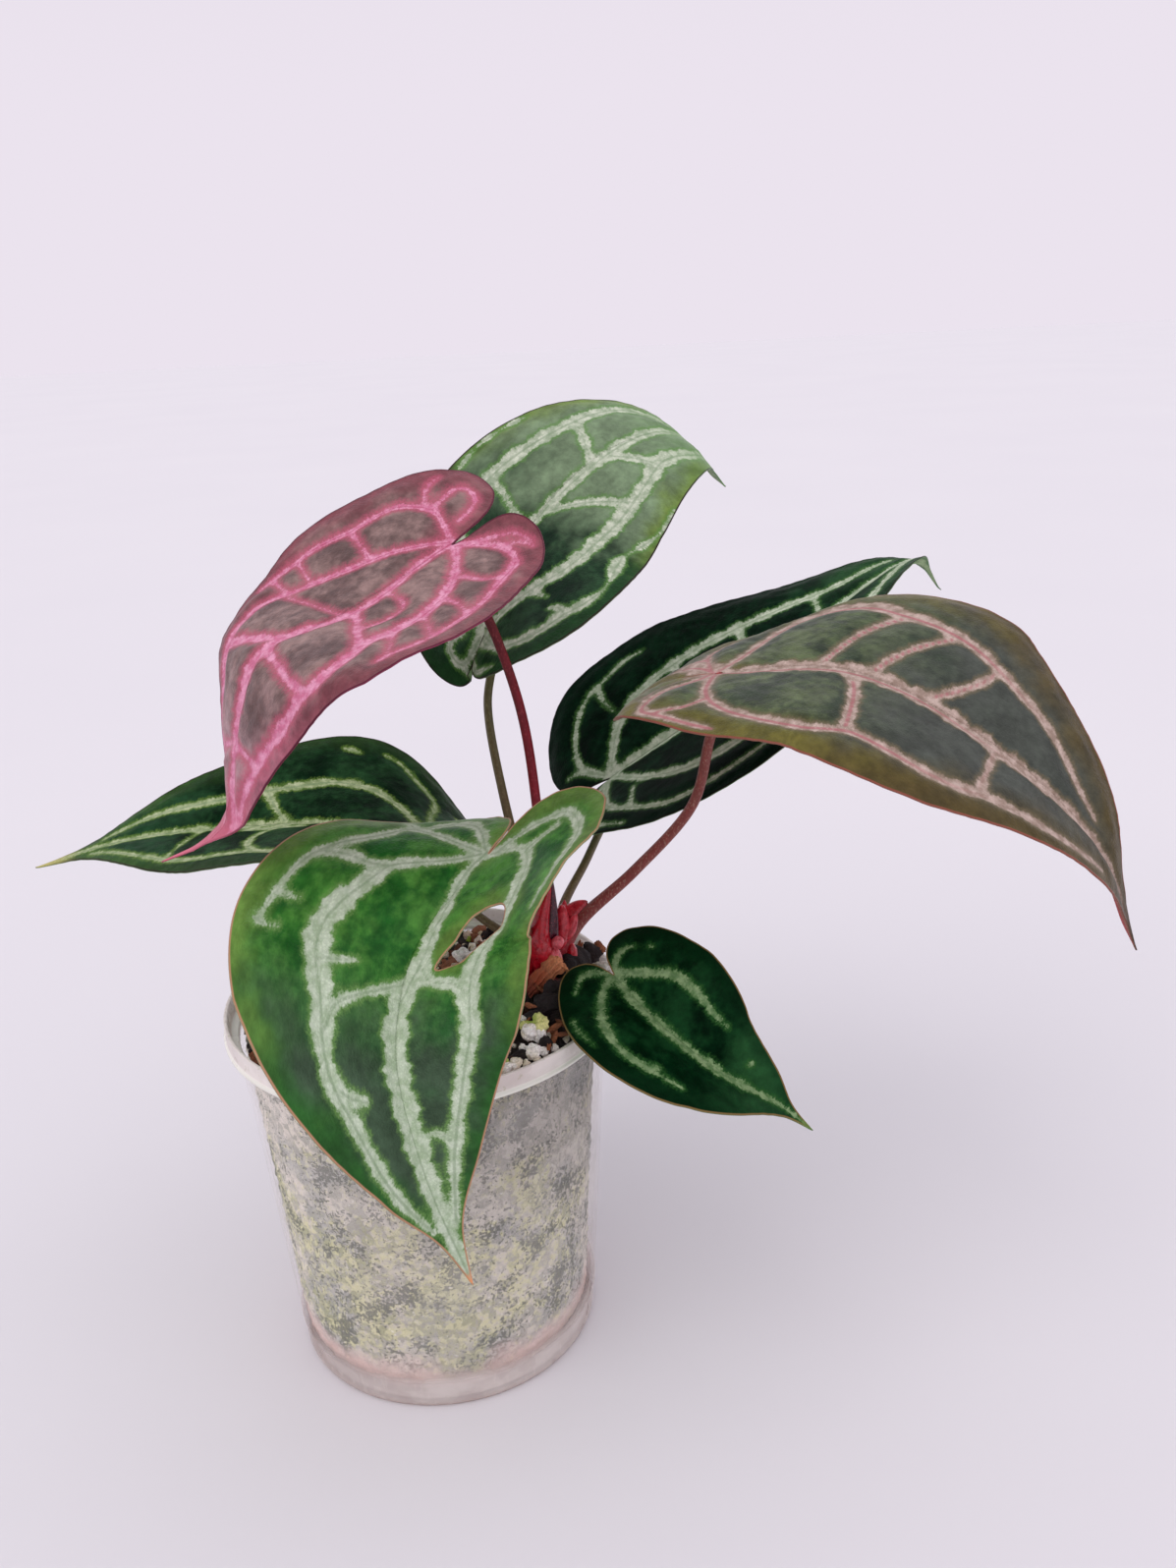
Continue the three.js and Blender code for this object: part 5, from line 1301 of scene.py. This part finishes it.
GOLDEN_ANGLE = 2.39996
INNER_WALL_R = 40.2     # no chunk reaches past it
BARE_SPOT, BARE_R = (29, 0.5), 4.4      # the crown stands here


def scatter(seed, count, low, high):
    """Seeded places over the mix by sunflower spacing with a jitter, and a size for each,
    skewed to small."""
    rng = np.random.default_rng(seed)
    i = np.arange(count)
    size = low + (high - low) * rng.random(count) ** 2.2
    r = np.minimum(MIX_R * np.sqrt((i + 0.5) / count) + rng.normal(0, 0.8, count), MIX_R)
    r = np.minimum(r, INNER_WALL_R - size)
    angle = i * GOLDEN_ANGLE + rng.normal(0, 0.25, count)
    return r * np.cos(angle), r * np.sin(angle), size, rng


def lay_chunks(name, seed, count, low, high, flat, boxy, material, sink=0.25):
    """Scatters one kind of chunk over the mix and its heap."""
    x, y, size, rng = scatter(seed, count, low, high)
    lift = heap(x, y) * rng.random(count) ** 0.5
    clear = np.hypot(x - BARE_SPOT[0], y - BARE_SPOT[1]) > BARE_R
    centres = np.stack([x, y, mix_top(x, y) + lift + size * sink], 1)[clear]
    sizes = (size[:, None] * np.stack([0.8 + 0.4 * rng.random(count), 0.7 + 0.3 * rng.random(count),
                                       np.full(count, flat)], 1))[clear]
    points, faces, shade = chunks(seed + 1, centres, sizes, rng.random(count)[clear], boxy)
    piece = make_piece(name, points, faces, dict(tone=shade), material, smooth=boxy > 0.8)
    place_piece(piece, "potting_mix")


def set_chunks(name, seed, lumps, boxy, material, rough=0.16):
    """Larger lumps set one by one, each (x, y, z), half sizes and tone, finely split."""
    centres, sizes, tones = zip(*lumps)
    points, faces, shade = chunks(seed, centres, sizes, tones, boxy, 4, rough)
    place_piece(make_piece(name, points, faces, dict(tone=shade), material), "potting_mix")


perlite = material_from("perlite", grain_group, {
    "Dark": (226, 198, 182), "Light": (255, 250, 246), "Algae": (224, 200, 150),
    "Algae Amount": 0.5, "Fleck": (150, 110, 76),
}, **GRAIN)
bark_chip = material_from("bark chips", grain_group, {
    "Dark": (26, 14, 16), "Light": (150, 88, 56), "Algae": (70, 44, 36),
    "Algae Amount": 0.2, "Fleck": (164, 116, 88),
}, **GRAIN)
moss = material_from("moss", grain_group, {
    "Dark": (158, 176, 66), "Light": (238, 232, 160), "Algae": (150, 178, 56),
    "Algae Amount": 0.8, "Fleck": (250, 244, 210),
}, **GRAIN)
lay_chunks("perlite_grains", 21, 560, 0.5, 1.7, 0.85, 1.0, perlite)
lay_chunks("bark_chips", 41, 420, 0.9, 3.0, 0.34, 0.7, bark_chip, 0.3)
lay_chunks("moss_tufts", 61, 60, 0.7, 1.5, 0.7, 1.0, moss, 0.35)
set_chunks("perlite_lumps", 71, [
    ((25.0, -25.0, 88.4), (2.1, 1.8, 1.7), 0.95), ((27.4, -25.6, 88.0), (1.7, 1.5, 1.4), 0.85),
    ((25.9, -30.6, 87.0), (1.7, 1.5, 1.5), 1.0), ((22.5, -33.7, 86.4), (1.4, 1.2, 1.1), 0.8),
    ((28.1, -29.8, 86.8), (0.9, 0.8, 0.8), 0.95), ((24.0, -28.6, 86.9), (1.1, 1.0, 1.0), 0.95),
    ((20.8, -35.4, 86.2), (1.3, 1.1, 1.0), 0.75), ((30.6, -28.6, 86.6), (1.0, 0.8, 0.8), 0.7),
    ((18.0, -36.8, 86.0), (1.2, 1.0, 0.9), 0.85), ((27.0, -32.0, 86.2), (0.8, 0.7, 0.6), 0.9),
    ((24.6, -33.4, 86.2), (0.8, 0.7, 0.7), 0.9), ((23.6, -19.4, 88.6), (1.1, 0.9, 0.9), 1.0),
    ((41.0, 0.8, 90.0), (1.1, 1.7, 2.3), 0.8), ((36.6, 7.0, 92.0), (1.3, 1.0, 0.9), 0.6),
    ((8.0, 16.0, 86.6), (2.0, 1.8, 1.6), 0.9), ((12.0, 12.0, 87.6), (2.2, 1.8, 1.6), 0.8),
], 1.0, perlite)
set_chunks("mossy_lumps", 81, [
    ((27.3, -23.6, 89.8), (2.2, 2.0, 1.8), 0.8), ((25.0, -23.8, 89.2), (1.6, 1.4, 1.3), 0.7),
    ((20.4, -33.8, 86.8), (1.0, 0.9, 0.8), 0.6), ((14.0, 8.0, 88.0), (1.8, 1.5, 1.3), 0.9),
], 1.0, moss)
set_chunks("bark_lumps", 91, [
    ((35.2, 0.6, 91.6), (3.2, 2.8, 3.0), 0.0), ((33.4, -3.4, 92.0), (2.8, 2.6, 2.6), 0.0),
    ((29.0, -15.4, 89.6), (3.4, 2.6, 2.4), 0.12), ((31.6, -12.4, 90.8), (3.0, 2.6, 2.4), 0.06),
    ((32.4, -18.6, 88.4), (2.8, 2.0, 1.8), 0.15), ((38.4, 6.6, 90.6), (3.0, 2.0, 1.8), 0.08),
    ((26.0, -19.0, 88.4), (2.4, 2.0, 1.8), 0.1), ((36.0, -10.0, 88.4), (3.0, 2.2, 2.0), 0.1),
    ((23.4, -30.6, 86.4), (1.5, 1.2, 1.0), 0.0), ((28.6, -27.6, 86.8), (1.5, 1.2, 1.0), 0.0),
], 0.75, bark_chip)
set_chunks("bark_slivers", 95, [
    ((30.6, -23.6, 88.6), (0.6, 0.45, 2.4), 0.9), ((31.8, -25.4, 87.8), (0.6, 0.4, 2.2), 0.75),
    ((30.4, -26.6, 87.6), (0.5, 0.4, 1.8), 1.0), ((33.2, -22.0, 88.2), (0.6, 0.5, 2.4), 0.6),
    ((29.2, -29.0, 87.2), (0.5, 0.4, 1.6), 1.0), ((25.2, -17.0, 90.4), (0.5, 0.5, 1.8), 1.2),
    ((40.8, 7.2, 91.6), (1.1, 0.7, 1.6), 1.0), ((36.0, 5.0, 92.4), (0.7, 0.7, 1.6), 1.0),
    ((28.0, -12.0, 91.2), (0.6, 0.4, 1.8), 0.9), ((24.4, -21.4, 88.6), (0.5, 0.4, 1.5), 0.9),
], 0.9, bark_chip)


# Stage, light and camera

def pale_floor(n, s):
    """A plain pale sheet with a very faint broad unevenness."""
    spot = n.place_mm()
    cloud = n.noise(spot, 0.004, 2.0)
    return {"Color": n.mix(cloud, s["Light"], s["Shade"]),
            "Roughness": n.step(cloud, 0, 1, 0.5, 0.6), "Height": cloud}


floor_group = node_group("pale floor", colors("Light", "Shade"), SURFACE, pale_floor)
floor_skin = material_from("pale floor", floor_group, {
    "Light": (221, 218, 222), "Shade": (217, 214, 219)}, strength=0.0,
    **{"Specular IOR Level": 0.0})
FLOOR_HALF = 6000
corners = FLOOR_HALF * np.array([(-1, -1, 0), (1, -1, 0), (1, 1, 0), (-1, 1, 0)], float)
floor = make_piece("floor", corners, [(0, 1, 2, 3)], {}, floor_skin, smooth=False)

world = bpy.data.worlds.new("soft room")
bpy.context.scene.world = world
world.use_nodes = True
sky = Nodes(world.node_tree)
around = sky.put("ShaderNodeTexCoord").outputs["Generated"]
rise = sky.put("ShaderNodeSeparateXYZ", {0: around}).outputs[2]
ceiling = sky.mix(sky.step(rise, 0.1, 0.8), tone(235, 227, 238), tone(206, 202, 210))
world.node_tree.links.new(ceiling, world.node_tree.nodes["Background"].inputs[0])


def pose(thing, right, up, back, spot=(0, 0, 0)):
    """Turns a light or the camera by its three axes, puts it at the spot and links it."""
    thing.matrix_world = Matrix([[right[i], up[i], back[i], spot[i]] for i in range(3)]
                                + [[0, 0, 0, 1]])
    bpy.context.scene.collection.objects.link(thing)


def soft_light(name, towards, strength, angle, color):
    """A broad far light that shines from the given direction."""
    data = bpy.data.lights.new(name, "SUN")
    data.energy, data.angle, data.color = strength, math.radians(angle), color[:3]
    back = unit(np.array(towards, float))
    right = unit(np.cross([0, 0, 1.0], back))
    pose(bpy.data.objects.new(name, data), right, np.cross(back, right), back)


soft_light("key light", (-0.42, -0.46, 0.78), 0.85, 45, tone(255, 253, 250))
soft_light("fill light", (0.5, -0.35, 0.79), 0.75, 80, tone(252, 252, 255))
soft_light("top light", (0.05, 0.4, 0.9), 0.35, 80, tone(252, 252, 255))

# The camera fitted to the photo: pixels, degrees and metres
FOCAL_PX, PHOTO_HEIGHT_PX = 1400, 1596
PITCH_DOWN, ROLL = 19.7, -2.79
CAMERA_SPOT = (0.040, -0.279, 0.234)
camera_data = bpy.data.cameras.new("photo view")
camera_data.sensor_width = 36
camera_data.lens = 36 * FOCAL_PX / PHOTO_HEIGHT_PX
camera_data.clip_start = 0.01
camera_data.dof.use_dof = False
camera = bpy.data.objects.new("photo view", camera_data)
pitch, roll = math.radians(PITCH_DOWN), math.radians(ROLL)
ahead = np.array([0, math.cos(pitch), -math.sin(pitch)])
level = np.array([1.0, 0, 0])
lift = np.cross(level, ahead)
pose(camera, level * math.cos(roll) + lift * math.sin(roll),
     lift * math.cos(roll) - level * math.sin(roll), -ahead, CAMERA_SPOT)
bpy.context.scene.camera = camera
bpy.context.scene.view_settings.view_transform = "Standard"
